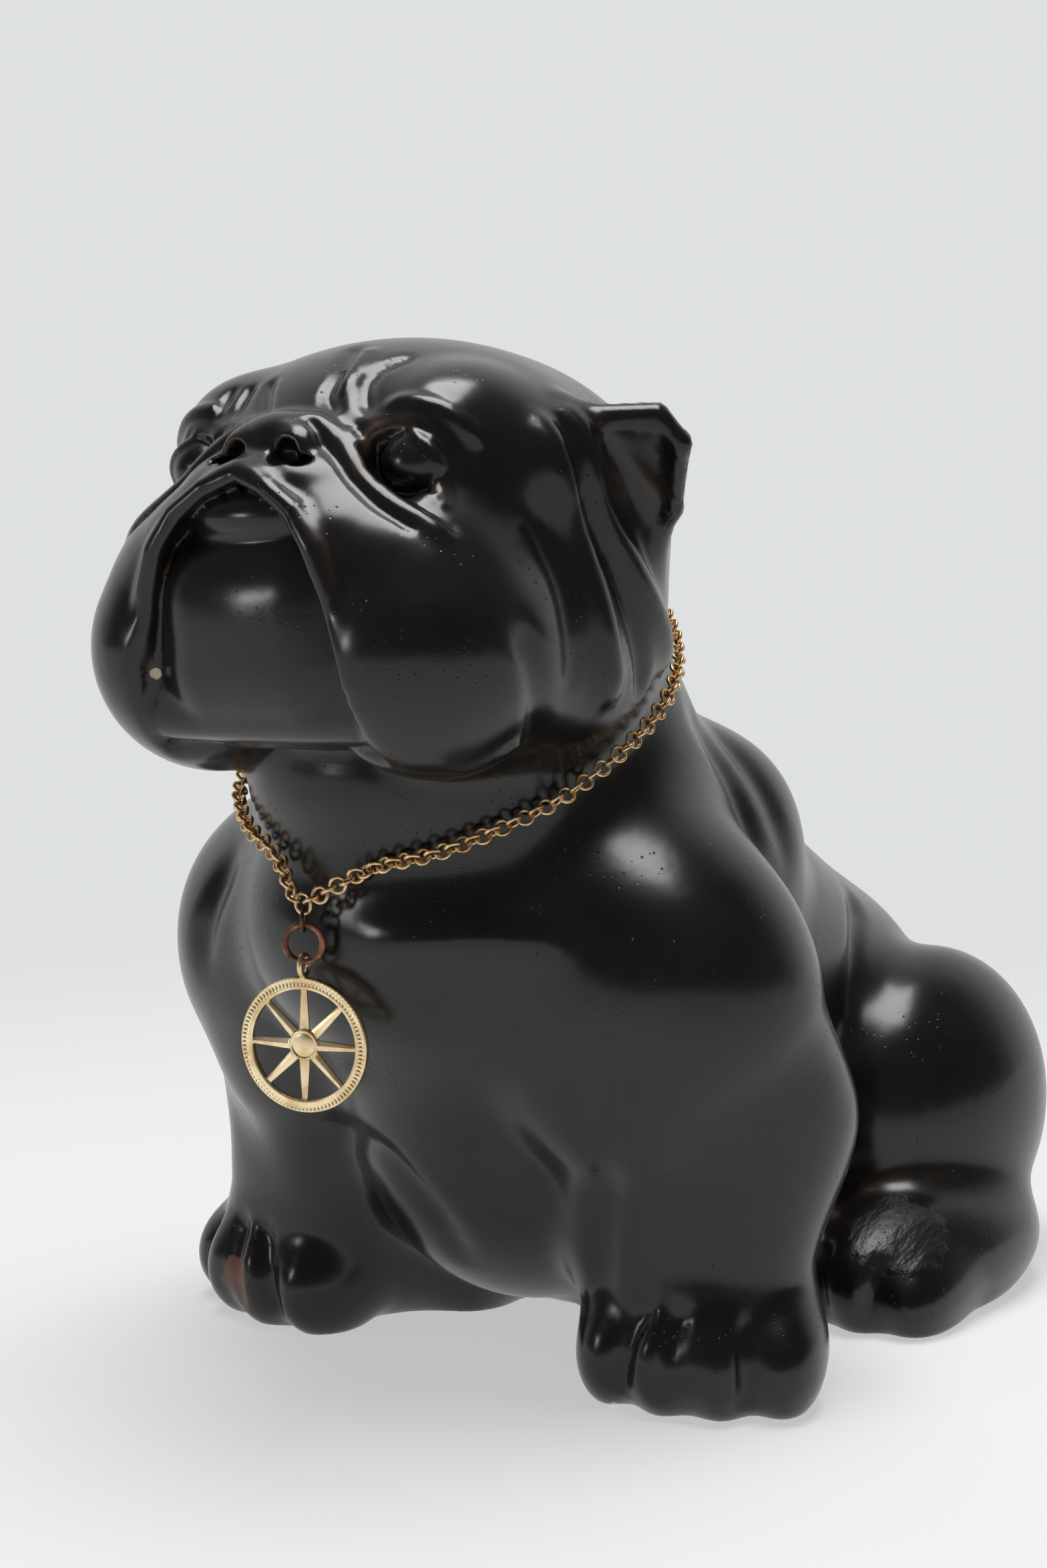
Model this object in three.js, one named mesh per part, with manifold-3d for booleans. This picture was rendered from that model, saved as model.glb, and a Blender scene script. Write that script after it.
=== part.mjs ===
// Seated bulldog ornament in black-lacquered terracotta, wearing a round-link chain with a medallion.
// Millimetres, +Z up, floor at z = 0. The dog faces -Y and its left side is +X.
import * as THREE from 'three'
import { mergeVertices } from 'three/addons/utils/BufferGeometryUtils.js'
import Module from 'manifold-3d'

const wasm = await Module()
wasm.setup()

// Overall size of the dog. Its form is drawn at the drawn size and stretched to this
const dogWidth = 235
const dogLength = 351
const dogHeight = 315
const drawnSize = [235, 351, 315]

// Chain: round links of brass wire. The front strands are loose links; the rest lies on the neck, its links
// soldered together
const linkWire = 1.15
const linkBore = 3.3
const linkGap = 0.3
const solderOverlap = 0.25
const chainRest = 0.8
const loopSlope = 30
const loopFrontZ = 185
const loopFrontY = -131
const loopCentreY = -80
const strandStart = 58
const strandRise = 3
const strandLinks = 20
const strandTurn = 25
const drapeRoll = 45

// Connector link, pendant ring and medallion, hung from the lowest point of the chain
const drawnApex = [-4, -170, 155]
const apexBore = 4.6
const apexYaw = -4
const apexLift = 26
const connectorWire = 1.2
const connectorBore = 5.2
const ringWire = 1.9
const ringOuter = 12.8
const bailWire = 1.6
const bailBore = 4.4
const medallionOuter = 39.6
const medallionThick = 2.4
const rimWidth = 3.6
const bossDiameter = 9
const rayCount = 8
const rayRootWidth = 3.2
const rayTipWidth = 1.8
const rayThick = 1.6
const ringYaw = 30
const medallionYaw = 14

// Spring-ring clasp at the nape
const claspTube = 1.7
const claspBore = 1.2
const claspHole = 2.6
const claspMouth = 55
const claspMouthAt = 60
const claspEyeWire = 0.8
const claspSolder = 0.3
const boltDiameter = 0.6
const boltSeat = 10
const boltTail = 22
const boltTravel = 60
const studDiameter = 0.6
const studLength = 0.7

// Vent hole in the underside, the grid that the modelled form is cast on and the facets that it keeps
const ventDiameter = 18
const ventDepth = 30
const ventAtY = 20
const formStep = 3
const formFacets = 5600
const faceShare = 4

// Head: it tilts a little towards the dog's right
const headRoll = 2.5
const headRollZ = 255

const radians = degrees => degrees * Math.PI / 180

// Signed distances, negative inside
const length3 = (x, y, z) => Math.sqrt(x * x + y * y + z * z)

const join = (a, b, round) => {
  const h = Math.max(round - Math.abs(a - b), 0)
  return Math.min(a, b) - h * h / (4 * round)
}

const meet = (a, b, round) => -join(-a, -b, round)

const cut = (a, b, round) => meet(a, -b, round)

function egg (centre, half, yaw = 0, pitch = 0) {
  const cosYaw = Math.cos(radians(yaw))
  const sinYaw = Math.sin(radians(yaw))
  const cosPitch = Math.cos(radians(pitch))
  const sinPitch = Math.sin(radians(pitch))
  return (x, y, z) => {
    const dx = x - centre[0]
    const dy = y - centre[1]
    const dz = z - centre[2]
    const ux = cosYaw * dx + sinYaw * dy
    const vy = -sinYaw * dx + cosYaw * dy
    const uy = cosPitch * vy + sinPitch * dz
    const uz = -sinPitch * vy + cosPitch * dz
    const [a, b, c] = half
    const near = length3(ux / a, uy / b, uz / c)
    const slope = length3(ux / (a * a), uy / (b * b), uz / (c * c))
    return slope < 1e-9 ? -Math.min(a, b, c) : near * (near - 1) / slope
  }
}

function limb (from, to, startRadius, endRadius) {
  const [bx, by, bz] = to.map((v, i) => v - from[i])
  const squared = bx * bx + by * by + bz * bz
  return (x, y, z) => {
    const px = x - from[0]
    const py = y - from[1]
    const pz = z - from[2]
    const t = Math.min(1, Math.max(0, (px * bx + py * by + pz * bz) / squared))
    return length3(px - t * bx, py - t * by, pz - t * bz) - startRadius - (endRadius - startRadius) * t
  }
}

function block (centre, half, radius) {
  return (x, y, z) => {
    const qx = Math.abs(x - centre[0]) - half[0] + radius
    const qy = Math.abs(y - centre[1]) - half[1] + radius
    const qz = Math.abs(z - centre[2]) - half[2] + radius
    const outside = length3(Math.max(qx, 0), Math.max(qy, 0), Math.max(qz, 0))
    return outside + Math.min(Math.max(qx, qy, qz), 0) - radius
  }
}

// Flat three-cornered plate with round edges
function plate (a, b, c, radius) {
  const corner = [a, b, c].map(p => new THREE.Vector3(...p))
  const face = new THREE.Triangle(...corner)
  const point = new THREE.Vector3()
  const near = new THREE.Vector3()
  return (x, y, z) => face.closestPointToPoint(point.set(x, y, z), near).distanceTo(point) - radius
}

// Slope of a field at a point, as a unit vector
function slopeAt (field, p, reach = 0.5) {
  const [x, y, z] = p
  const n = new THREE.Vector3(
    field(x + reach, y, z) - field(x - reach, y, z),
    field(x, y + reach, z) - field(x, y - reach, z),
    field(x, y, z + reach) - field(x, y, z - reach))
  return n.normalize()
}

// Brings a point onto the surface of a field
const settleRounds = 6
function settle (field, p) {
  const q = new THREE.Vector3(...p)
  for (let i = 0; i < settleRounds; i++) q.addScaledVector(slopeAt(field, q.toArray()), -field(q.x, q.y, q.z))
  return q.toArray()
}

// Ridge (height above 0) or groove (below 0) that a modelling tool leaves along a line on the surface.
// An open one fades out at its ends. Lengths are in widths of the stroke
const strokeSpacing = 1.5
const strokeReach = 2.6
const strokeFade = 3
function stroke (field, points, height, width, closed = false) {
  const curve = new THREE.CatmullRomCurve3(points.map(p => new THREE.Vector3(...p)), closed, 'centripetal')
  const whole = curve.getLength()
  const count = Math.ceil(whole / (strokeSpacing * width)) + 1
  const line = curve.getSpacedPoints(count).map(p => settle(field, p.toArray()))
  const runs = line.slice(1).map((p, i) => limb(line[i], p, 0, 0))
  const reach = strokeReach * width
  const fadeLength = strokeFade * width
  const box = new THREE.Box3().setFromPoints(line.map(p => new THREE.Vector3(...p))).expandByScalar(reach)
  return (x, y, z) => {
    if (x < box.min.x || x > box.max.x || y < box.min.y || y > box.max.y) return 0
    if (z < box.min.z || z > box.max.z) return 0
    let near = reach
    let at = 0
    runs.forEach((run, i) => {
      const off = run(x, y, z)
      if (off < near) [near, at] = [off, i + 0.5]
    })
    if (near >= reach) return 0
    const toEnd = Math.min(at, runs.length - at) / runs.length * whole
    const fade = closed ? 1 : THREE.MathUtils.smoothstep(toEnd, 0, fadeLength)
    return height * fade * Math.exp(-((near / width) ** 2))
  }
}

// Round roll of clay that follows a line
function rope (points, radius) {
  const runs = points.slice(1).map((p, i) => limb(points[i], p, radius, radius))
  return (x, y, z) => {
    let d = Infinity
    for (const run of runs) d = Math.min(d, run(x, y, z))
    return d
  }
}

// Toes of a paw: a row of eggs along its front edge
function toes (centre, yaw, pitch, count, half, forward, bow) {
  return Array.from({ length: count }, (_, i) => {
    const along = i - (count - 1) / 2
    const u = along * pitch
    const v = forward - bow * along * along
    const cos = Math.cos(radians(yaw))
    const sin = Math.sin(radians(yaw))
    const at = [centre[0] + u * cos + v * sin, centre[1] + u * sin - v * cos, centre[2]]
    return [egg(at, half, yaw), 5]
  })
}

// Masses of the body: [shape, blend radius]; the paired ones are mirrored in x = 0
const trunk = [
  [egg([0, -88, 142], [72, 76, 56]), 1],
  [limb([0, -74, 168], [0, -104, 236], 67, 55), 24],
  [egg([0, -122, 190], [52, 45, 34]), 16],
  [egg([0, -52, 84], [60, 72, 72]), 30],
  [egg([0, -2, 24], [66, 46, 28]), 22],
  [limb([0, -10, 120], [0, 75, 78], 64, 58), 26],
  [egg([0, 70, 60], [66, 72, 60]), 24],
  [egg([0, 62, 18], [62, 66, 30]), 20]
]
const limbs = [
  [egg([30, -20, 158], [34, 42, 36]), 16],
  [egg([38, -10, 52], [27, 38, 34]), 14],
  [egg([64, -88, 128], [44, 47, 48]), 20],
  [limb([70, -78, 112], [75, -62, 82], 35, 34), 19],
  [limb([76, -66, 84], [75, -74, 38], 35, 30), 14],
  [egg([75, -74, 19], [34, 35, 24], -20), 10],
  [limb([66, -72, 30], [38, -46, 14], 26, 20), 14],
  ...toes([75, -75, 15], 20, 17, 4, [12, 19, 17], 18, 3),
  [egg([64, 80, 56], [39, 57, 54], 0, -8), 10],
  [egg([86, 46, 16], [27, 56, 25], -4), 12],
  ...toes([86, 32, 11], 10, 16.5, 3, [12, 22, 14], 20, 3)
]
const bodyForm = (x, y, z) => {
  const side = Math.abs(x)
  let d = trunk[0][0](x, y, z)
  for (const [shape, round] of trunk.slice(1)) d = join(d, shape(x, y, z), round)
  for (const [shape, round] of limbs) d = join(d, shape(side, y, z), round)
  return d
}

// Half width of the mouth opening at a height, between the hanging lips
const lipRim = [[277, 0], [272, 13], [266, 20], [259, 26], [246, 30], [228, 35], [214, 37], [180, 38]]
function mouthHalf (z) {
  const below = lipRim.findIndex(([height]) => z >= height)
  if (below === 0) return lipRim[0][0] - z
  if (below < 0) return lipRim.at(-1)[1]
  const [upperZ, upperX] = lipRim[below - 1]
  const [lowerZ, lowerX] = lipRim[below]
  return upperX + (lowerX - upperX) * (upperZ - z) / (upperZ - lowerZ)
}
const mouthFlank = 0.8
const mouthBackY = -188
const mouth = (x, y, z) => Math.max((Math.abs(x) - mouthHalf(z)) * mouthFlank, y - mouthBackY)
const chinOverlap = 2
const lipRollRadius = 3
const lipRoll = rope([
  [0, -200, 279], [11, -202, 274.5], [21, -203, 268], [28, -204, 258], [32.5, -203, 246], [36, -200, 230],
  [39, -193, 214], [44, -182, 204], [52, -171, 198], [60, -162, 202]
], lipRollRadius)
const chinBlock = block([0, -177, 235], [40, 28, 34], 26)
const chinRound = 6
const lowerLipRound = 3
const gumRound = 1.5
const lowerLip = egg([0, -182, 260], [29, 22, 8])
const gum = block([0, -170, 232], [42, 29, 28], 8)
const chin = (x, y, z) => {
  const flank = (Math.abs(x) - mouthHalf(z) - chinOverlap) * mouthFlank
  const lipped = join(chinBlock(x, y, z), lowerLip(x, y, z), lowerLipRound)
  return join(meet(lipped, flank, chinRound), gum(x, y, z), gumRound)
}

const skull = [
  [egg([0, -114, 256], [67, 80, 58]), 1],
  [egg([0, -132, 276], [66, 48, 36]), 10],
  [egg([0, -162, 262], [40, 32, 27]), 12]
]
const jowls = [
  [egg([36, -120, 228], [36, 50, 40]), 14],
  [egg([20, -182, 256], [22, 24, 21]), 9],
  [egg([39, -164, 229], [33, 43, 37]), 9],
  [egg([32, -166, 252], [28, 34, 22]), 9],
  [egg([37, -148, 287], [17, 23, 18]), 9]
]
const earFront = [55, -122, 289]
const earEnd = [77, -110, 289]
const earTip = [84, -106, 280]
const earLow = [74, -99, 264]
const earBack = [60, -92, 248]
const earRadius = 4.2
const earSlabs = [[earEnd, earTip], [earTip, earLow], [earLow, earBack]].map(([a, b]) =>
  plate(earFront, a, b, earRadius))
const cupFront = [65, -124, 284]
const cupTip = [79, -116, 280]
const cupLow = [72, -108, 264]
const cupBack = [60, -104, 256]
const cupRadius = 3.6
const earCups = [plate(cupFront, cupTip, cupLow, cupRadius), plate(cupFront, cupLow, cupBack, cupRadius)]
const noseMiddle = 1.5
const nosePad = egg([noseMiddle, -181, 286], [16, 11, 9])
const noseWing = egg([8.8, -186, 284], [7.2, 7, 7])
const nostril = egg([8.8, -193, 283.5], [3.8, 6, 4])
const eyeHole = egg([38.5, -177, 280], [12.6, 8.5, 11.3])
const eyeBall = egg([37.5, -165, 280], [11, 11, 10])

// Blend radii of the head's smaller parts
const rimRound = 3
const lipRound = 4
const seamRound = 1.2
const lidRound = 0.6
const noseRound = 2
const nostrilRound = 1.5
const plateRound = 2
const earRound = 8

const headForm = (x, y, z) => {
  const side = Math.abs(x)
  const noseSide = Math.abs(x - noseMiddle)
  let d = skull[0][0](x, y, z)
  for (const [shape, round] of skull.slice(1)) d = join(d, shape(x, y, z), round)
  for (const [shape, round] of jowls) d = join(d, shape(side, y, z), round)
  d = join(cut(d, mouth(x, y, z), rimRound), lipRoll(side, y, z), lipRound)
  d = join(d, chin(x, y, z), seamRound)
  d = join(cut(d, eyeHole(side, y, z), rimRound), eyeBall(side, y, z), lidRound)
  d = join(join(d, nosePad(x, y, z), rimRound), noseWing(noseSide, y, z), noseRound)
  d = cut(d, nostril(noseSide, y, z), nostrilRound)
  const ear = earSlabs.map(slab => slab(side, y, z)).reduce((a, b) => join(a, b, plateRound))
  const cup = join(earCups[0](side, y, z), earCups[1](side, y, z), rimRound)
  return join(d, cut(ear, cup, rimRound), earRound)
}

// Folds and creases, drawn on the left side and mirrored: [points, height, width]
const headFolds = [
  [[[6, -181, 297], [16, -181, 292], [26, -183, 284], [36, -186, 276], [46, -186, 268], [60, -180, 257]],
    2.4, 3.4],
  [[[10, -183, 292], [20, -186, 285], [30, -189, 276], [40, -190, 268], [51, -187, 260]], -2.2, 1.8],
  [[[20, -176, 293], [28, -177, 286], [42, -181, 274], [60, -177, 261]], -1.8, 2.2],
  [[[27, -172, 294], [33, -170, 296], [41, -168, 295], [49, -164, 290], [54, -159, 282]], 2.2, 2.6],
  [[[66, -174, 240], [70, -166, 226], [69, -160, 213], [59, -152, 201], [45, -149, 192]], -3, 4],
  [[[56, -140, 296], [62, -142, 284], [66, -137, 264], [71, -131, 240], [71, -127, 222], [66, -122, 206]],
    3.6, 5],
  [[[56, -128, 298], [62, -130, 286], [67, -125, 266], [70, -113, 248], [69, -99, 232], [57, -79, 212]],
    3.6, 5],
  [[[59, -134, 292], [66, -131, 272], [72, -121, 246], [71, -112, 226], [64, -104, 210]], -3.4, 3.5],
  [[[50, -152, 290], [58, -152, 272], [62, -148, 256]], -1.5, 5]
]
// Folds of the brow, which differ on the two sides
const browFolds = [
  [[[0, -144, 313], [5, -156, 309], [8, -165, 304], [10, -172, 299], [17, -177, 293]], -2.6, 2.2],
  [[[24, -147, 309], [20, -154, 307], [18, -162, 303], [21, -169, 298], [26, -173, 292]], -3, 2.4],
  [[[-18, -160, 304], [-15, -168, 301], [-11, -174, 297], [-8, -178, 294]], -2.2, 2.2],
  [[[-25, -160, 303], [-24, -168, 299], [-22, -174, 294]], -2.2, 2.2]
]
// Rim of the eyelids, an oval that leans outwards
const lidCentre = [37.5, -176, 280]
const lidHalf = [13.8, 11.6]
const lidLean = -20
const lidSteps = 16
const lidRise = 1.4
const lidWidth = 1.9
const lidRim = Array.from({ length: lidSteps }, (_, i) => {
  const turn = 2 * Math.PI * i / lidSteps
  const u = lidHalf[0] * Math.cos(turn)
  const v = lidHalf[1] * Math.sin(turn)
  const cos = Math.cos(radians(lidLean))
  const sin = Math.sin(radians(lidLean))
  return [lidCentre[0] + u * cos - v * sin, lidCentre[1], lidCentre[2] + u * sin + v * cos]
})
const bodyFolds = [
  [[[56, -131, 166], [68, -134, 147], [73, -134, 132], [74, -131, 116], [72, -124, 98]], -2.2, 7],
  [[[60, -100, 40], [58, -110, 28], [56, -114, 14], [55, -113, 3]], -3.2, 3],
  [[[78, -104, 40], [77, -113, 28], [75, -117, 14], [75, -117, 3]], -3.2, 3],
  [[[98, -94, 36], [101, -101, 24], [101, -102, 13], [100, -101, 3]], -3, 3],
  [[[80, 0, 26], [79, -7, 16], [79, -10, 5]], -2.6, 2.6],
  [[[97, 2, 27], [97, -6, 17], [97, -9, 5]], -2.6, 2.6],
  [[[47, -112, 96], [43, -106, 74], [37, -92, 50], [30, -76, 28], [25, -62, 8]], -3, 5]
]
const foldReach = 12
const drawn = (form, paired, single) => {
  const pairedStrokes = paired.map(fold => stroke(form, ...fold))
  const singleStrokes = single.map(fold => stroke(form, ...fold))
  return (x, y, z) => {
    let d = form(x, y, z)
    if (Math.abs(d) > foldReach) return d
    for (const s of pairedStrokes) d -= s(Math.abs(x), y, z)
    for (const s of singleStrokes) d -= s(x, y, z)
    return d
  }
}
const body = drawn(bodyForm, bodyFolds, [])
const head = drawn(headForm, [...headFolds, [lidRim, lidRise, lidWidth, true]], browFolds)

// The whole outside of the casting as it is drawn, before its feet are ground flat
const neckRound = 8
function drawnForm (x, y, z) {
  const cos = Math.cos(radians(headRoll))
  const sin = Math.sin(radians(headRoll))
  const up = z - headRollZ
  return join(body(x, y, z), head(cos * x + sin * up, y, headRollZ - sin * x + cos * up), neckRound)
}

// The casting at its real size, and a place of the drawn form moved with it
const stretch = [dogWidth, dogLength, dogHeight].map((size, i) => size / drawnSize[i])
const leastStretch = Math.min(...stretch)
const casting = (x, y, z) => leastStretch * drawnForm(x / stretch[0], y / stretch[1], z / stretch[2])
const onForm = point => point.map((v, i) => v * stretch[i])

// Turns a field into a closed mesh: each grid cell near the surface is split into six tetrahedra
function polygonise (field, low, high, step) {
  const counts = low.map((v, i) => Math.ceil((high[i] - v) / step) + 1)
  const [nx, ny, nz] = counts
  const values = new Map()
  const position = []
  const triangles = []
  const crossings = new Map()
  const corners = [[0, 0, 0], [1, 0, 0], [1, 1, 0], [0, 1, 0], [0, 0, 1], [1, 0, 1], [1, 1, 1], [0, 1, 1]]
  const tetrahedra = [[0, 5, 1, 6], [0, 1, 2, 6], [0, 2, 3, 6], [0, 3, 7, 6], [0, 7, 4, 6], [0, 4, 5, 6]]
  const place = (i, j, k) => [low[0] + i * step, low[1] + j * step, low[2] + k * step]
  const sample = (i, j, k) => {
    const key = (k * ny + j) * nx + i
    let v = values.get(key)
    if (v === undefined) {
      v = { key, at: place(i, j, k), d: field(...place(i, j, k)) || 1e-6 }
      values.set(key, v)
    }
    return v
  }
  const crossing = (a, b) => {
    const [p, q] = a.key < b.key ? [a, b] : [b, a]
    const key = p.key * nx * ny * nz + q.key
    let v = crossings.get(key)
    if (v === undefined) {
      const t = Math.min(0.95, Math.max(0.05, p.d / (p.d - q.d)))
      v = position.length / 3
      position.push(...p.at.map((s, i) => s + t * (q.at[i] - s)))
      crossings.set(key, v)
    }
    return v
  }
  const addFace = (a, b, c, inside, outside) => {
    const p = [a, b, c].map(v => new THREE.Vector3().fromArray(position, 3 * v))
    const out = new THREE.Vector3(...outside.at).sub(new THREE.Vector3(...inside.at))
    const normal = p[1].sub(p[0]).cross(p[2].sub(p[0]))
    triangles.push(normal.dot(out) > 0 ? [a, b, c] : [a, c, b])
  }
  const block = 4
  for (let K = 0; K < nz - 1; K += block) {
    for (let J = 0; J < ny - 1; J += block) {
      for (let I = 0; I < nx - 1; I += block) {
        const middle = place(I + block / 2, J + block / 2, K + block / 2)
        if (Math.abs(field(...middle)) > block * step) continue
        for (let k = K; k < Math.min(K + block, nz - 1); k++) {
          for (let j = J; j < Math.min(J + block, ny - 1); j++) {
            for (let i = I; i < Math.min(I + block, nx - 1); i++) {
              const cell = corners.map(([a, b, c]) => sample(i + a, j + b, k + c))
              if (cell.every(c => c.d < 0) || cell.every(c => c.d > 0)) continue
              for (const tetrahedron of tetrahedra) {
                const four = tetrahedron.map(c => cell[c])
                const inside = four.filter(c => c.d < 0)
                const outside = four.filter(c => c.d > 0)
                if (inside.length === 0 || outside.length === 0) continue
                if (inside.length === 2) {
                  const pairs = [[0, 0], [0, 1], [1, 1], [1, 0]]
                  const ring = pairs.map(([a, b]) => crossing(inside[a], outside[b]))
                  addFace(ring[0], ring[1], ring[2], inside[0], outside[1])
                  addFace(ring[0], ring[2], ring[3], inside[1], outside[0])
                } else {
                  const tip = inside.length === 1 ? inside[0] : outside[0]
                  const base = inside.length === 1 ? outside : inside
                  addFace(...base.map(c => crossing(tip, c)), inside[0], outside[0])
                }
              }
            }
          }
        }
      }
    }
  }
  return { position, triangles }
}

// Binary heap of [cost, ...] entries, cheapest first
function pushHeap (heap, entry) {
  let i = heap.push(entry) - 1
  while (i > 0) {
    const parent = (i - 1) >> 1
    if (heap[parent][0] <= entry[0]) break
    heap[i] = heap[parent]
    i = parent
  }
  heap[i] = entry
}

function popHeap (heap) {
  const top = heap[0]
  const last = heap.pop()
  let i = 0
  while (heap.length > 0) {
    let child = 2 * i + 1
    if (child >= heap.length) break
    if (child + 1 < heap.length && heap[child + 1][0] < heap[child][0]) child++
    if (heap[child][0] >= last[0]) break
    heap[i] = heap[child]
    i = child
  }
  if (heap.length > 0) heap[i] = last
  return top
}

// Merges neighbouring vertices, the flattest first, until the mesh has no more facets than wanted.
// Where a point is to be drawn keenly, facets are kept longer
function thin ({ position, triangles }, facets, keenly) {
  const points = Array.from({ length: position.length / 3 }, (_, i) => position.slice(3 * i, 3 * i + 3))
  const faces = triangles.map(t => [...t])
  const around = points.map(() => new Set())
  const quadric = points.map(() => new Float64Array(10))
  const stamp = new Int32Array(points.length)
  const minus = (p, q) => [p[0] - q[0], p[1] - q[1], p[2] - q[2]]
  const cross = (p, q) => [p[1] * q[2] - p[2] * q[1], p[2] * q[0] - p[0] * q[2], p[0] * q[1] - p[1] * q[0]]
  const dot = (p, q) => p[0] * q[0] + p[1] * q[1] + p[2] * q[2]
  const areaVector = ([a, b, c]) => cross(minus(b, a), minus(c, a))

  faces.forEach((face, f) => {
    const n = areaVector(face.map(v => points[v]))
    const area = Math.sqrt(dot(n, n))
    face.forEach(v => around[v].add(f))
    if (area < 1e-9) return
    const [a, b, c] = n.map(v => v / area)
    const d = -dot([a, b, c], points[face[0]])
    const terms = [a * a, a * b, a * c, a * d, b * b, b * c, b * d, c * c, c * d, d * d]
    const share = keenly(points[face[0]]) ? faceShare : 1
    for (const v of face) for (let i = 0; i < 10; i++) quadric[v][i] += share * area * terms[i]
  })

  const error = (q, [x, y, z]) => q[0] * x * x + q[4] * y * y + q[7] * z * z + q[9] +
    2 * (q[1] * x * y + q[2] * x * z + q[3] * x + q[5] * y * z + q[6] * y + q[8] * z)

  const best = (q, middle) => {
    const pull = 1e-3 * (q[0] + q[4] + q[7]) + 1e-9
    const rows = [[q[0] + pull, q[1], q[2]], [q[1], q[4] + pull, q[5]], [q[2], q[5], q[7] + pull]]
    const right = [pull * middle[0] - q[3], pull * middle[1] - q[6], pull * middle[2] - q[8]]
    const det = dot(rows[0], cross(rows[1], rows[2]))
    const solved = [
      dot(right, cross(rows[1], rows[2])) / det,
      dot(right, cross(rows[2], rows[0])) / det,
      dot(right, cross(rows[0], rows[1])) / det
    ]
    return solved.every(Number.isFinite) ? solved : middle
  }

  const heap = []
  const consider = (a, b) => {
    const q = quadric[a].map((v, i) => v + quadric[b][i])
    const middle = points[a].map((v, i) => (v + points[b][i]) / 2)
    const to = best(q, middle)
    const span = minus(points[a], points[b])
    pushHeap(heap, [error(q, to) + 1e-4 * dot(span, span), a, b, stamp[a], stamp[b], to])
  }
  const neighbours = v => {
    const found = new Set()
    for (const f of around[v]) for (const w of faces[f]) if (w !== v) found.add(w)
    return found
  }
  points.forEach((_, a) => {
    for (const b of neighbours(a)) if (a < b) consider(a, b)
  })

  const flips = (v, other, to) => {
    for (const f of around[v]) {
      if (faces[f].includes(other)) continue
      const before = areaVector(faces[f].map(w => points[w]))
      const after = areaVector(faces[f].map(w => w === v ? to : points[w]))
      if (dot(before, after) < 0.3 * Math.sqrt(dot(before, before) * dot(after, after))) return true
    }
    return false
  }

  let left = faces.length
  while (left > facets && heap.length > 0) {
    const [, a, b, stampA, stampB, to] = popHeap(heap)
    if (stamp[a] !== stampA || stamp[b] !== stampB || stampA < 0 || stampB < 0) continue
    const besideB = neighbours(b)
    const shared = [...neighbours(a)].filter(v => besideB.has(v))
    if (shared.length !== 2 || flips(a, b, to) || flips(b, a, to)) continue
    points[a] = to
    quadric[b].forEach((v, i) => { quadric[a][i] += v })
    for (const f of [...around[b]]) {
      if (faces[f].includes(a)) {
        faces[f].forEach(v => around[v].delete(f))
        faces[f] = null
        left--
      } else {
        faces[f] = faces[f].map(v => v === b ? a : v)
        around[a].add(f)
      }
    }
    around[b].clear()
    stamp[b] = -1
    const beside = neighbours(a)
    stamp[a]++
    for (const v of beside) consider(Math.min(a, v), Math.max(a, v))
  }

  const kept = faces.filter(Boolean)
  const renumbered = new Map()
  kept.flat().forEach(v => { if (!renumbered.has(v)) renumbered.set(v, renumbered.size) })
  const geometry = new THREE.BufferGeometry()
  const used = [...renumbered.keys()].flatMap(v => points[v])
  geometry.setAttribute('position', new THREE.BufferAttribute(new Float32Array(used), 3))
  geometry.setIndex(kept.flat().map(v => renumbered.get(v)))
  return geometry
}

// Solids, and the meshes that show them
function solid (geometry) {
  const bare = geometry.clone()
  bare.deleteAttribute('normal')
  bare.deleteAttribute('uv')
  const merged = mergeVertices(bare, 1e-4)
  const corners = Array.from(merged.index.array)
  const whole = []
  for (let i = 0; i < corners.length; i += 3) {
    const [a, b, c] = corners.slice(i, i + 3)
    if (a !== b && b !== c && c !== a) whole.push(a, b, c)
  }
  return new wasm.Manifold(new wasm.Mesh({
    numProp: 3,
    vertProperties: merged.attributes.position.array,
    triVerts: new Uint32Array(whole)
  }))
}

const moved = (body, matrix) => body.transform(matrix.elements)
const fused = bodies => bodies.reduce((whole, next) => whole.add(next))

function surfaceOf (body) {
  const { vertProperties, triVerts, numProp } = body.getMesh()
  const geometry = new THREE.BufferGeometry()
  const position = []
  for (let i = 0; i < vertProperties.length; i += numProp) position.push(...vertProperties.slice(i, i + 3))
  geometry.setAttribute('position', new THREE.BufferAttribute(new Float32Array(position), 3))
  geometry.setIndex(Array.from(triVerts))
  geometry.computeVertexNormals()
  return geometry
}

const finish = (color, roughness, metalness) =>
  new THREE.MeshStandardMaterial({ color, roughness, metalness })
const lacquer = finish(0x17110f, 0.32, 0)
const roseBrass = finish(0xb98a5e, 0.35, 1)
const darkBrass = finish(0x4a3228, 0.5, 1)
const wornCopper = finish(0x75503f, 0.5, 1)
const paleGold = finish(0xdcb877, 0.28, 1)
const clearGold = finish(0xc49a63, 0.3, 1)

const ornament = new THREE.Group()
function show (name, geometry, material, matrix = new THREE.Matrix4()) {
  const mesh = new THREE.Mesh(geometry, material)
  mesh.name = name
  matrix.decompose(mesh.position, mesh.quaternion, mesh.scale)
  ornament.add(mesh)
}

// Axes with X along one direction and Z as close as can be to another, at a point
function axesAt (point, along, towards) {
  const x = along.clone().normalize()
  const z = towards.clone().addScaledVector(x, -towards.dot(x)).normalize()
  const y = z.clone().cross(x)
  return new THREE.Matrix4().makeBasis(x, y, z).setPosition(point)
}
const turnX = degrees => new THREE.Matrix4().makeRotationX(radians(degrees))
const turnZ = degrees => new THREE.Matrix4().makeRotationZ(radians(degrees))
const shift = (x, y, z) => new THREE.Matrix4().makeTranslation(x, y, z)
const stack = (...matrices) => matrices.reduce((all, next) => all.clone().multiply(next))

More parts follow.
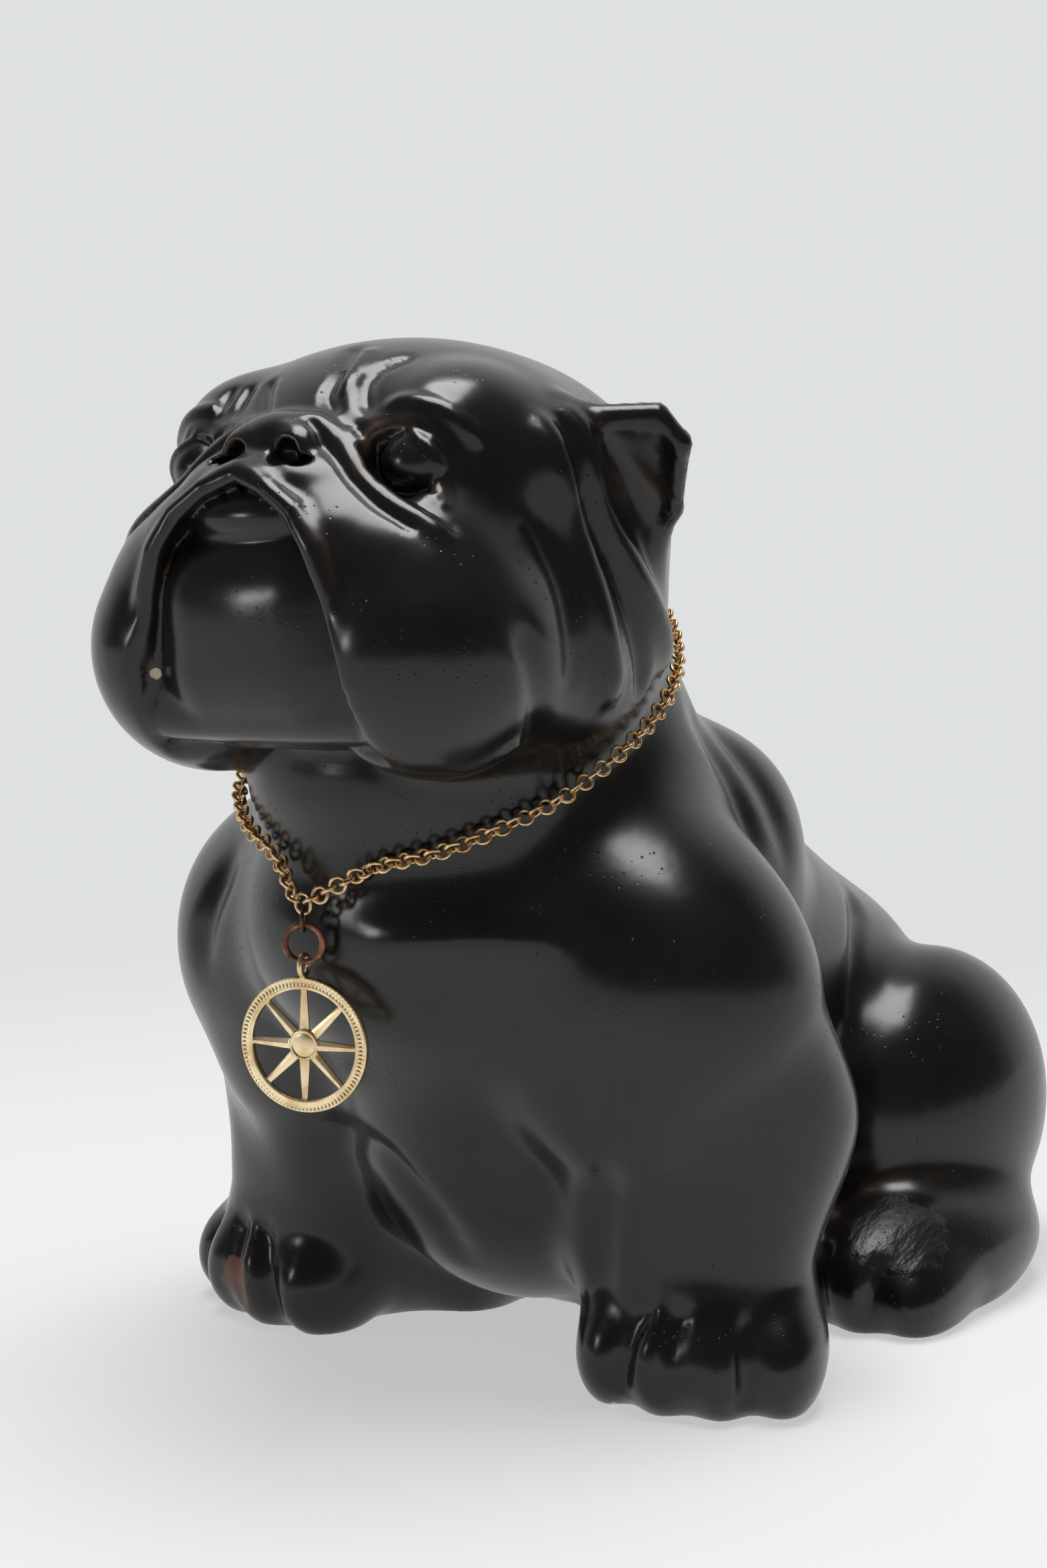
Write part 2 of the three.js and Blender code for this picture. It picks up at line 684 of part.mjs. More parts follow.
// Ring of wire about Z. Its wire is faceted, with flats across X where neighbouring rings hang in it
function wireRing (bore, wire, steps, sides) {
  const acrossFlats = 1 / Math.cos(Math.PI / steps)
  const corner = wire / 2 / Math.cos(Math.PI / sides)
  const section = Array.from({ length: sides + 1 }, (_, i) => {
    const angle = 2 * Math.PI * (i % sides + 0.5) / sides
    const radius = (bore + wire) / 2 + corner * Math.cos(angle)
    return new THREE.Vector2(radius * acrossFlats, corner * Math.sin(angle))
  })
  const geometry = new THREE.LatheGeometry(section, steps, Math.PI / 2 + Math.PI / steps)
  return geometry.rotateX(Math.PI / 2)
}

// Sculpture: cast whole, with its feet and seat flat and a vent hole in the underside
const lowest = -14
const formBox = [onForm([-122, -226, lowest]), onForm([122, 156, 330])]
const [, faceBackY, faceLowZ] = onForm([0, -150, 200])
const castForm = solid(thin(polygonise(casting, ...formBox, formStep), formFacets,
  ([, y, z]) => y < faceBackY && z > faceLowZ))
const floorSize = 600
const floorBlock = new THREE.BoxGeometry(floorSize, floorSize, floorSize)
const belowFloor = solid(floorBlock.translate(0, 0, -floorSize / 2))
const vent = new THREE.CylinderGeometry(ventDiameter / 2, ventDiameter / 2, 2 * ventDepth, 24)
const ventCut = solid(vent.rotateX(Math.PI / 2).translate(0, ventAtY * stretch[1], 0))
const sculpture = castForm.subtract(belowFloor).subtract(ventCut)
show('sculpture', surfaceOf(sculpture), lacquer)

// Where the chain lies: a tilted loop round the neck, as a taut line over the surface
const linkOuter = linkBore + 2 * linkWire
const restHeight = linkOuter / 2 + chainRest
const loopRise = Math.tan(radians(loopSlope))
const loopFront = onForm([0, loopFrontY, loopFrontZ])
const loopCentre = loopCentreY * stretch[1]

// Facets of the sculpture with a ball round each, to measure how far a point is off them
function facetsOf (geometry) {
  const { position } = geometry.attributes
  const corner = i => new THREE.Vector3().fromBufferAttribute(position, geometry.index.getX(i))
  return Array.from({ length: geometry.index.count / 3 }, (_, f) => {
    const facet = new THREE.Triangle(corner(3 * f), corner(3 * f + 1), corner(3 * f + 2))
    const ball = new THREE.Sphere().setFromPoints([facet.a, facet.b, facet.c])
    return { facet, ball }
  })
}
const skin = facetsOf(surfaceOf(sculpture))

function clearance (p) {
  const near = new THREE.Vector3()
  let best = Infinity
  for (const { facet, ball } of skin) {
    if (ball.distanceToPoint(p) > best) continue
    best = Math.min(best, facet.closestPointToPoint(p, near).distanceTo(p))
  }
  return casting(p.x, p.y, p.z) > 0 ? best : -best
}

function restPoint (angle) {
  const x = Math.sin(angle)
  const y = -Math.cos(angle)
  const at = r => {
    const v = loopCentre + r * y
    return new THREE.Vector3(r * x, v, loopFront[2] + loopRise * (v - loopFront[1]))
  }
  const outermost = 120
  const stride = 3
  const halvings = 10
  let inner = outermost
  while (inner > 0 && casting(...at(inner).toArray()) > restHeight) inner -= stride
  let outer = inner + stride
  for (let i = 0; i < halvings; i++) {
    const middle = (inner + outer) / 2
    if (clearance(at(middle)) > restHeight) outer = middle
    else inner = middle
  }
  return at(outer)
}

// Convex outline of the points as seen from above, in order round the loop
function tautLine (points) {
  const side = (o, a, b) => (a.x - o.x) * (b.y - o.y) - (a.y - o.y) * (b.x - o.x)
  const sorted = [...points].sort((p, q) => p.x - q.x || p.y - q.y)
  const half = list => {
    const chain = []
    for (const p of list) {
      while (chain.length > 1 && side(chain.at(-2), chain.at(-1), p) <= 0) chain.pop()
      chain.push(p)
    }
    return chain.slice(0, -1)
  }
  return [...half(sorted), ...half([...sorted].reverse())]
}
const raysRound = 120
const rests = Array.from({ length: raysRound }, (_, i) => restPoint(2 * Math.PI * (i + 0.5) / raysRound))
const taut = new THREE.CurvePath()
const bends = tautLine(rests)
bends.forEach((p, i) => taut.add(new THREE.LineCurve3(p, bends[(i + 1) % bends.length])))
const tautPoints = taut.getSpacedPoints(raysRound)

// Keeps a point of a hanging strand clear of the chest
const pushes = 4
function pushedOut (p) {
  const q = p.clone()
  for (let i = 0; i < pushes; i++) {
    const short = restHeight - clearance(q)
    if (short > 0) q.addScaledVector(slopeAt(casting, q.toArray()), short)
  }
  return q
}

const up = new THREE.Vector3(0, 0, 1)
const outwards = yaw => new THREE.Vector3(Math.sin(radians(yaw)), -Math.cos(radians(yaw)), 0)
const sideways = yaw => new THREE.Vector3(Math.cos(radians(yaw)), Math.sin(radians(yaw)), 0)

// Distance between the centres of two interlocked rings
const reach = (boreA, boreB) => (boreA + boreB) / 2 - linkGap

// Clasp: its ring lies flat on the nape, with its eye towards the dog's right
const apexPoint = new THREE.Vector3(...onForm(drawnApex))
const claspRadius = (claspHole + claspTube) / 2
const claspPoint = pushedOut(restPoint(Math.PI))
const claspOut = slopeAt(casting, claspPoint.toArray(), 6)
const claspAxes = axesAt(claspPoint, new THREE.Vector3(1, 0, 0), claspOut)
const claspEyeBore = linkWire + 3 * linkGap
const claspEyeAt = claspRadius + claspTube / 2 + claspEyeBore / 2 + claspEyeWire - claspSolder
const linkRadius = (linkBore + linkWire) / 2
const rightEnd = reach(claspHole, linkBore)
const leftEnd = -claspEyeAt - linkRadius

// One side's chain: [matrix of each loose link of the front strand, matrix of each link on the neck]
function strand (side, endAlong) {
  const strandRoot = sideways(apexYaw).multiplyScalar(side * Math.cos(radians(apexLift)))
    .addScaledVector(up, Math.sin(radians(apexLift)))
  const root = apexPoint.clone().addScaledVector(strandRoot, (apexBore + linkWire) / 2)
  const firstStep = root.clone().addScaledVector(strandRoot, linkOuter / 5)
  const endX = side * endAlong + linkOuter
  const lie = tautPoints.filter(p => side * p.x > (p.y > loopCentre ? endX : strandStart * stretch[0]))
  lie.sort((p, q) => p.y - q.y)
  const hanging = [0.25, 0.5, 0.75].map(t => {
    const p = firstStep.clone().lerp(lie[0], t)
    p.z += 4 * strandRise * t * (1 - t)
    return pushedOut(p)
  })
  const lastStep = new THREE.Vector3(endAlong + side * linkOuter / 2, 0, 0).applyMatrix4(claspAxes)
  const end = new THREE.Vector3(endAlong, 0, 0).applyMatrix4(claspAxes)
  const path = [root, firstStep, ...hanging, ...lie, lastStep, end]
  const curve = new THREE.CatmullRomCurve3(path, false, 'centripetal')
  curve.arcLengthDivisions = 2000
  const whole = curve.getLength()
  const start = (linkBore - linkWire) / 2 - linkGap
  const loosePitch = linkBore - linkGap
  const neckStart = start + strandLinks * loosePitch
  const neckSteps = 2 * Math.floor((whole - neckStart) / (linkBore + solderOverlap) / 2)
  const neckPitch = (whole - neckStart) / neckSteps
  const linkAt = (k, s) => {
    const t = Math.min(1, s / whole)
    const point = curve.getPointAt(t)
    const turned = THREE.MathUtils.smoothstep(s, 0, strandTurn)
    const out = outwards(apexYaw).lerp(slopeAt(casting, point.toArray(), 3), turned)
    const rolled = turned * THREE.MathUtils.smoothstep(whole - s, 0, strandTurn)
    const roll = (k % 2 === 0 ? 90 : 0) + drapeRoll * rolled
    return axesAt(point, curve.getTangentAt(t), out).multiply(turnX(roll))
  }
  const loose = Array.from({ length: strandLinks }, (_, k) => linkAt(k, start + k * loosePitch))
  const neck = Array.from({ length: neckSteps + 1 }, (_, k) =>
    linkAt(strandLinks + k, neckStart + k * neckPitch))
  const hinge = curve.getPointAt((neckStart - loosePitch / 2) / whole)
  return { loose, neck, hinge }
}
const left = strand(1, rightEnd)
const right = strand(-1, leftEnd)

const looseLink = wireRing(linkBore, linkWire, 8, 4)
const neckLink = solid(wireRing(linkBore, linkWire, 6, 4))
left.loose.forEach((matrix, k) => show(`link_left_${k + 1}`, looseLink, roseBrass, matrix))
right.loose.forEach((matrix, k) => show(`link_right_${k + 1}`, looseLink, roseBrass, matrix))
show('link_middle', wireRing(apexBore, linkWire, 16, 4), roseBrass,
  axesAt(apexPoint, sideways(apexYaw), outwards(apexYaw)))
show('neck_chain_left', surfaceOf(fused(left.neck.map(matrix => moved(neckLink, matrix)))), roseBrass)
show('neck_chain_right', surfaceOf(fused(right.neck.map(matrix => moved(neckLink, matrix)))), roseBrass)

// Connector link, pendant ring and medallion, each hanging in the one above
const ringBore = ringOuter - 2 * ringWire
const below = (point, drop) => point.clone().addScaledVector(up, -drop)
const connectorPoint = below(apexPoint, reach(apexBore, connectorBore))
const ringPoint = below(connectorPoint, reach(connectorBore, ringBore))
const bailPoint = below(ringPoint, reach(ringBore, bailBore))
const bailSolder = 0.4
const bailToCentre = bailBore / 2 + bailWire - bailSolder + medallionOuter / 2
const medallionPoint = below(bailPoint, bailToCentre)
show('connector_link', wireRing(connectorBore, connectorWire, 12, 6), darkBrass,
  axesAt(connectorPoint, up, sideways(ringYaw)))
show('pendant_ring', wireRing(ringBore, ringWire, 20, 8), wornCopper,
  axesAt(ringPoint, up, outwards(ringYaw)))

// Medallion: an open sunburst in a flat rim, drawn in X and Z, with its bail above
function medallion () {
  const outer = medallionOuter / 2
  const inner = outer - rimWidth
  const half = medallionThick / 2
  const bevel = 0.35
  const band = [
    [outer, -half + bevel], [outer, half - bevel], [outer - bevel, half], [inner + bevel, half],
    [inner, half - bevel], [inner, bevel - half], [inner + bevel, -half], [outer - bevel, -half],
    [outer, -half + bevel]
  ].map(([x, y]) => new THREE.Vector2(x, y))
  const rim = solid(new THREE.LatheGeometry(band, 48))
  const boss = solid(new THREE.CylinderGeometry(bossDiameter / 2, bossDiameter / 2, medallionThick, 24))
  const rayStart = bossDiameter / 2 - bevel
  const rayEnd = inner + bevel
  const outline = new THREE.Shape([
    new THREE.Vector2(-rayRootWidth / 2, rayStart), new THREE.Vector2(rayRootWidth / 2, rayStart),
    new THREE.Vector2(rayTipWidth / 2, rayEnd), new THREE.Vector2(-rayTipWidth / 2, rayEnd)
  ])
  const ray = new THREE.ExtrudeGeometry(outline, { depth: rayThick, bevelEnabled: false })
  ray.translate(0, 0, -rayThick / 2).rotateX(Math.PI / 2)
  const rays = Array.from({ length: rayCount }, (_, i) =>
    solid(ray.clone().rotateY(2 * Math.PI * i / rayCount)))
  const bail = wireRing(bailBore, bailWire, 16, 6).rotateY(Math.PI / 2).translate(0, 0, bailToCentre)
  return fused([rim, boss, ...rays, solid(bail)])
}
show('medallion', surfaceOf(medallion()), paleGold,
  stack(new THREE.Matrix4().setPosition(medallionPoint), turnZ(medallionYaw)))

// Prism over a sector of the clasp's ring, between two angles in degrees from X
function sector (from, to, outerRadius, low, high) {
  const outline = new THREE.Shape()
  outline.moveTo(0, 0)
  outline.lineTo(outerRadius * Math.cos(radians(from)), outerRadius * Math.sin(radians(from)))
  outline.absarc(0, 0, outerRadius, radians(from), radians(to), false)
  const shape = { depth: high - low, bevelEnabled: false, curveSegments: 12 }
  const prism = new THREE.ExtrudeGeometry(outline, shape)
  return solid(prism.translate(0, 0, low))
}

// Clasp: a hollow open ring with a slot for the thumb stud, and the curved bolt that closes its mouth
const claspSteps = 24
const mouthStart = claspMouthAt - claspMouth / 2
const mouthEnd = claspMouthAt + claspMouth / 2
const beyond = 2 * claspRadius + claspTube
const boltStart = mouthStart - boltSeat
const boltEnd = mouthEnd + boltTail
const studAngle = boltEnd - boltTail / 2
const tubeWall = claspTube - claspBore
const slotMargin = (studDiameter / 2 + linkGap) / claspRadius * 180 / Math.PI
const slotWidth = studDiameter + 2 * linkGap
const studTop = claspTube / 2 + studLength

function claspCase () {
  const tube = solid(wireRing(claspHole, claspTube, claspSteps, 8))
  const bore = solid(wireRing(claspHole + tubeWall, claspBore, claspSteps, 8))
  const mouthCut = sector(mouthStart, mouthEnd, beyond, -claspTube, claspTube)
  const slotSpan = sector(studAngle - slotMargin, studAngle + boltTravel + slotMargin, beyond, 0, claspTube)
  const slotBand = solid(wireRing(claspHole + claspTube - slotWidth, slotWidth, claspSteps, 4))
  const slot = slotSpan.intersect(slotBand.add(moved(slotBand, shift(0, 0, slotWidth / 2))))
  const eye = wireRing(claspEyeBore, claspEyeWire, 10, 6).translate(-claspEyeAt, 0, 0)
  return tube.subtract(bore).subtract(mouthCut).subtract(slot).add(solid(eye))
}

function claspBolt () {
  const rod = solid(wireRing(claspHole + claspTube - boltDiameter, boltDiameter, claspSteps, 6))
  const bolt = rod.intersect(sector(boltStart, boltEnd, beyond, -claspTube, claspTube))
  const stud = new THREE.CylinderGeometry(studDiameter / 2, studDiameter / 2, studTop, 12)
  stud.rotateX(Math.PI / 2).translate(claspRadius, 0, studTop / 2).rotateZ(radians(studAngle))
  return bolt.add(solid(stud))
}
show('clasp_case', surfaceOf(claspCase()), clearGold, claspAxes)
show('clasp_bolt', surfaceOf(claspBolt()), clearGold, claspAxes)

// The origin is on the floor under the middle of the ornament
const middle = new THREE.Box3().setFromObject(ornament).getCenter(new THREE.Vector3())
ornament.position.set(-middle.x, -middle.y, 0)

export default ornament
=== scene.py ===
import math

import bmesh
import bpy
import numpy as np
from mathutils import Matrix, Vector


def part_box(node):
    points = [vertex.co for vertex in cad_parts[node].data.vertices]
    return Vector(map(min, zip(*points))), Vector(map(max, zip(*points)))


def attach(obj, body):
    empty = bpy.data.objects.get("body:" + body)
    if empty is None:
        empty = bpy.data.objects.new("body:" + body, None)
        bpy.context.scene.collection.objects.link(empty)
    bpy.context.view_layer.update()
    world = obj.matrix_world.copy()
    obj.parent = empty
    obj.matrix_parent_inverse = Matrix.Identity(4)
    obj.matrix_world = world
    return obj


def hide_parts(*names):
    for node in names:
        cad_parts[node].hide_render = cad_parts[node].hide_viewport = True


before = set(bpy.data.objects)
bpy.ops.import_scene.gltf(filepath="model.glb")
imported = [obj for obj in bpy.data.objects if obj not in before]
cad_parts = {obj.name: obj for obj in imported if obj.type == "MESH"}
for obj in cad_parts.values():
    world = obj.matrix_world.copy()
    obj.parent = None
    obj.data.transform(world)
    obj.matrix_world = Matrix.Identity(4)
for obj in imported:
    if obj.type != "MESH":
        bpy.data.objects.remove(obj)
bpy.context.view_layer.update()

import openvdb
from mathutils import Vector

# Camera: stands a little above the dog's eyes, in front and to its left, as the photographer did.
# The frame is upright, so the sensor's long side, 36 mm, is the picture's height.
camera_data = bpy.data.cameras.new("camera")
camera_data.sensor_width = 36
camera_data.lens = 70
camera_data.clip_start = 0.05
camera_data.clip_end = 20
camera = bpy.data.objects.new("camera", camera_data)
bpy.context.scene.collection.objects.link(camera)
bpy.context.scene.camera = camera

# The form was modelled about the dog's own middle plane; the frame's origin lies under the whole
# ornament. The pendant ring hangs in a known place of the form, so it gives the step between them.
millimetre = 0.001
ring_low, ring_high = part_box("pendant_ring")
ring_in_form = Vector((-4, -170, 143.6))
form_step = (ring_low + ring_high) / 2 - ring_in_form * millimetre
form_step.z = 0

camera_azimuth = math.radians(35)
camera_tilt = math.radians(8)
camera.location = Vector((539, -836, 310)) * millimetre + form_step
looking = Vector((
    -math.sin(camera_azimuth) * math.cos(camera_tilt),
    math.cos(camera_azimuth) * math.cos(camera_tilt),
    -math.sin(camera_tilt),
))
camera.rotation_euler = looking.to_track_quat("-Z", "Y").to_euler()


# Studio: a pale floor and backdrop in one tone, a broad soft lamp overhead that gleams on brow,
# shoulder and haunch, and a small one low in front for the glints on chin and paws.
world = bpy.data.worlds.new("studio")
bpy.context.scene.world = world
world.use_nodes = True
bpy.context.scene.view_settings.view_transform = "Standard"


class Sock:
    """A shader value: a node's output socket, or a plain number, that takes part in sums."""

    def __init__(self, tree, link):
        self.tree = tree
        self.link = link

    def maths(self, operation, other=None, third=None, clamp=False):
        node = self.tree.nodes.new("ShaderNodeMath")
        node.operation = operation
        node.use_clamp = clamp
        for socket, value in zip(node.inputs, (self, other, third)):
            if isinstance(value, Sock):
                self.tree.links.new(value.link, socket)
            elif value is not None:
                socket.default_value = value
        return Sock(self.tree, node.outputs[0])

    def __add__(self, other):
        return self.maths("ADD", other)

    __radd__ = __add__

    def __mul__(self, other):
        return self.maths("MULTIPLY", other)

    __rmul__ = __mul__

    def __sub__(self, other):
        return self.maths("SUBTRACT", other)

    def __rsub__(self, other):
        return (self * -1) + other

    def most(self, other):
        return self.maths("MAXIMUM", other)

    def held(self):
        return self.maths("ADD", 0.0, clamp=True)

    def step(self, low, high):
        """0 below low, 1 above high, and smooth between; falls instead where low is above high."""
        t = self.maths("SUBTRACT", low).maths("DIVIDE", high - low, clamp=True)
        return t * t * (3.0 - 2.0 * t)


class Paint:
    """The node tree of one material, with a short way to add a node and to mix two colours."""

    def __init__(self, name, base=(0.8, 0.8, 0.8), roughness=0.5, metallic=0.0):
        self.material = bpy.data.materials.new(name)
        self.material.use_nodes = True
        self.tree = self.material.node_tree
        self.shader = self.tree.nodes["Principled BSDF"]
        self.set("Base Color", base)
        self.set("Roughness", roughness)
        self.set("Metallic", metallic)
        self.place = self.node("ShaderNodeTexCoord", out="Object")

    def node(self, kind, settings=None, out=0, **values):
        made = self.tree.nodes.new(kind)
        for key, value in (settings or {}).items():
            setattr(made, key, value)
        for key, value in values.items():
            self.feed(made.inputs[key.replace("_", " ")], value)
        return Sock(self.tree, made.outputs[out])

    def feed(self, socket, value):
        if isinstance(value, Sock):
            self.tree.links.new(value.link, socket)
        elif isinstance(value, (tuple, list)) and len(value) == 3 and socket.type == "RGBA":
            socket.default_value = (*value, 1.0)
        else:
            socket.default_value = value

    def set(self, name, value):
        self.feed(self.shader.inputs[name], value)

    def noise(self, scale, detail=3.0, roughness=0.5, place=None):
        return self.node("ShaderNodeTexNoise", Vector=place or self.place, Scale=scale, Detail=detail,
                         Roughness=roughness)

    def mix(self, share, first, second):
        made = self.tree.nodes.new("ShaderNodeMix")
        made.data_type = "RGBA"
        self.feed(made.inputs["Factor"], share)
        # The node keeps its colour sockets, which share their names with others, at these places
        self.feed(made.inputs[6], first)
        self.feed(made.inputs[7], second)
        return Sock(self.tree, made.outputs[2])

    def bump(self, height, distance, strength=1.0):
        self.set("Normal", self.node("ShaderNodeBump", Height=height, Distance=distance,
                                     Strength=strength))


world_tree = world.node_tree
ambient = world_tree.nodes["Background"]
ambient.inputs["Color"].default_value = (1.0, 0.99, 0.98, 1.0)
ambient.inputs["Strength"].default_value = 0.10
backdrop_colour = (0.735, 0.75, 0.755, 1.0)
seen_world = world_tree.nodes.new("ShaderNodeBackground")
seen_world.inputs["Color"].default_value = backdrop_colour
seen_world.inputs["Strength"].default_value = 1.0
world_path = world_tree.nodes.new("ShaderNodeLightPath")
world_blend = world_tree.nodes.new("ShaderNodeMixShader")

# Mirrored rays see the pale backdrop where it hangs, behind the dog, and the dim studio elsewhere
world_place = world_tree.nodes.new("ShaderNodeTexCoord")
facing = world_tree.nodes.new("ShaderNodeVectorMath")
facing.operation = "DOT_PRODUCT"
world_tree.links.new(world_place.outputs["Generated"], facing.inputs[0])
facing.inputs[1].default_value = (looking.x, looking.y, 0.0)
mirrored = Sock(world_tree, world_path.outputs["Is Glossy Ray"]) * Sock(
    world_tree, facing.outputs["Value"]).step(0.1, 0.7)
world_seen = Sock(world_tree, world_path.outputs["Is Camera Ray"]).most(
    Sock(world_tree, world_path.outputs["Is Transmission Ray"])).most(mirrored)
world_tree.links.new(world_seen.link, world_blend.inputs[0])
world_tree.links.new(ambient.outputs[0], world_blend.inputs[1])
world_tree.links.new(seen_world.outputs[0], world_blend.inputs[2])
world_tree.links.new(world_blend.outputs[0], world_tree.nodes["World Output"].inputs["Surface"])

# The floor takes the dog's shadow near it, and turns into the backdrop's own tone further off
half_floor = 4.0
floor_mesh = bpy.data.meshes.new("floor")
floor_corners = [(-half_floor, -half_floor), (half_floor, -half_floor),
                 (half_floor, half_floor), (-half_floor, half_floor)]
floor_mesh.from_pydata([(x, y, 0.0) for x, y in floor_corners], [], [(0, 1, 2, 3)])
floor = bpy.data.objects.new("floor", floor_mesh)
bpy.context.scene.collection.objects.link(floor)
floor_paint = Paint("floor_paper", roughness=0.9)
floor_paint.set("Specular IOR Level", 0.0)
floor_reach = floor_paint.node("ShaderNodeVectorMath", {"operation": "LENGTH"}, out="Value",
                               Vector=floor_paint.place)
faded = floor_reach.step(0.3, 0.85)
paper, paper_glow, unlit = (0.4, 0.395, 0.395), (0.5, 0.505, 0.505), (0.0, 0.0, 0.0)
floor_paint.set("Base Color", floor_paint.mix(faded, paper, unlit))
floor_paint.set("Emission Color", floor_paint.mix(faded, paper_glow, backdrop_colour[:3]))
floor_paint.set("Emission Strength", 1.0)
floor_mesh.materials.append(floor_paint.material)


def lamp(name, place, aim, size, power):
    data = bpy.data.lights.new(name, "AREA")
    data.shape = "RECTANGLE"
    data.size, data.size_y = size
    data.energy = power
    made = bpy.data.objects.new(name, data)
    made.location = place
    made.rotation_euler = (Vector(aim) - Vector(place)).to_track_quat("-Z", "Y").to_euler()
    bpy.context.scene.collection.objects.link(made)


lamp("overhead_lamp", (0.05, -0.1, 1.3), aim=(0.0, -0.02, 0.1), size=(0.75, 0.75), power=16.5)
lamp("front_lamp", (-0.62, -1.15, 0.4), aim=(0.0, 0.0, 0.15), size=(0.16, 0.2), power=1.2)


# Sculpture: one hollow terracotta casting of a seated bulldog, modelled by hand in clay with
# smooth masses, folds pressed in with a tool, and rubbed black lacquer over the fired red body.
def length3(x, y, z):
    return np.sqrt(x * x + y * y + z * z)


def join(a, b, blend):
    """Two forms as one, with a fillet that spreads over about the blend in millimetres."""
    h = np.maximum(blend - np.abs(a - b), 0)
    return np.minimum(a, b) - h * h / (4 * blend)


def meet(a, b, blend):
    """What two forms share."""
    return -join(-a, -b, blend)


def cut(a, b, blend):
    """The first form less the second."""
    return meet(a, -b, blend)


def egg(centre, half, yaw=0, pitch=0):
    """Distance, nearly, from an egg with these half sizes, below 0 inside it as in every form here."""
    cos_yaw, sin_yaw = math.cos(math.radians(yaw)), math.sin(math.radians(yaw))
    cos_pitch, sin_pitch = math.cos(math.radians(pitch)), math.sin(math.radians(pitch))
    a, b, c = half

    def shape(x, y, z):
        dx, dy, dz = x - centre[0], y - centre[1], z - centre[2]
        ux = cos_yaw * dx + sin_yaw * dy
        vy = -sin_yaw * dx + cos_yaw * dy
        uy = cos_pitch * vy + sin_pitch * dz
        uz = -sin_pitch * vy + cos_pitch * dz
        near = length3(ux / a, uy / b, uz / c)
        slope = length3(ux / (a * a), uy / (b * b), uz / (c * c))
        return near * (near - 1) / np.maximum(slope, 1e-6)

    return shape


def limb(start, end, start_radius, end_radius):
    """Round limb that tapers from one end to the other."""
    bx, by, bz = (e - s for s, e in zip(start, end))
    squared = bx * bx + by * by + bz * bz

    def shape(x, y, z):
        px, py, pz = x - start[0], y - start[1], z - start[2]
        t = np.clip((px * bx + py * by + pz * bz) / squared, 0, 1)
        off = length3(px - t * bx, py - t * by, pz - t * bz)
        return off - start_radius - (end_radius - start_radius) * t

    return shape


def block(centre, half, radius):
    """Box with round edges."""
    def shape(x, y, z):
        qx = np.abs(x - centre[0]) - half[0] + radius
        qy = np.abs(y - centre[1]) - half[1] + radius
        qz = np.abs(z - centre[2]) - half[2] + radius
        outside = length3(np.maximum(qx, 0), np.maximum(qy, 0), np.maximum(qz, 0))
        return outside + np.minimum(np.maximum(np.maximum(qx, qy), qz), 0) - radius

    return shape


def plate(a, b, c, radius):
    """Flat three-cornered plate with round edges, measured near itself alone."""
    a, b, c = (np.array(p, float) for p in (a, b, c))
    normal = np.cross(b - a, c - a)
    normal /= np.linalg.norm(normal)
    margin = 16
    around = radius + margin
    low = np.minimum(np.minimum(a, b), c) - around
    high = np.maximum(np.maximum(a, b), c) + around

    def shape(x, y, z):
        d = np.full(x.shape, float(around))
        near = np.nonzero((x > low[0]) & (x < high[0]) & (y > low[1]) & (y < high[1])
                          & (z > low[2]) & (z < high[2]))[0]
        p = np.stack([x[near], y[near], z[near]], -1)
        best = np.full(len(near), 1e9)
        inside = np.ones(len(near), bool)
        for start, end in ((a, b), (b, c), (c, a)):
            along = end - start
            t = np.clip((p - start) @ along / (along @ along), 0, 1)
            best = np.minimum(best, np.linalg.norm(p - start - t[:, None] * along, axis=1))
            inside &= (p - start) @ np.cross(normal, along) >= 0
        d[near] = np.minimum(np.where(inside, np.abs((p - a) @ normal), best) - radius, around)
        return d

    return shape


toe_blend = 7


def toes(centre, yaw, pitch, count, half, forward, bow):
    """A row of toes in front of a paw's centre, bowed so that the outer ones stand back."""
    cos, sin = math.cos(math.radians(yaw)), math.sin(math.radians(yaw))
    row = []
    for i in range(count):
        along = i - (count - 1) / 2
        u, v = along * pitch, forward - bow * along * along
        place = (centre[0] + u * cos + v * sin, centre[1] + u * sin - v * cos, centre[2])
        row.append((egg(place, half, yaw), toe_blend))
    return row


def massed(parts):
    """One form from several, each blended into those before it."""
    def shape(x, y, z):
        d = parts[0][0](x, y, z)
        for part, blend in parts[1:]:
            d = join(d, part(x, y, z), blend)
        return d

    return shape


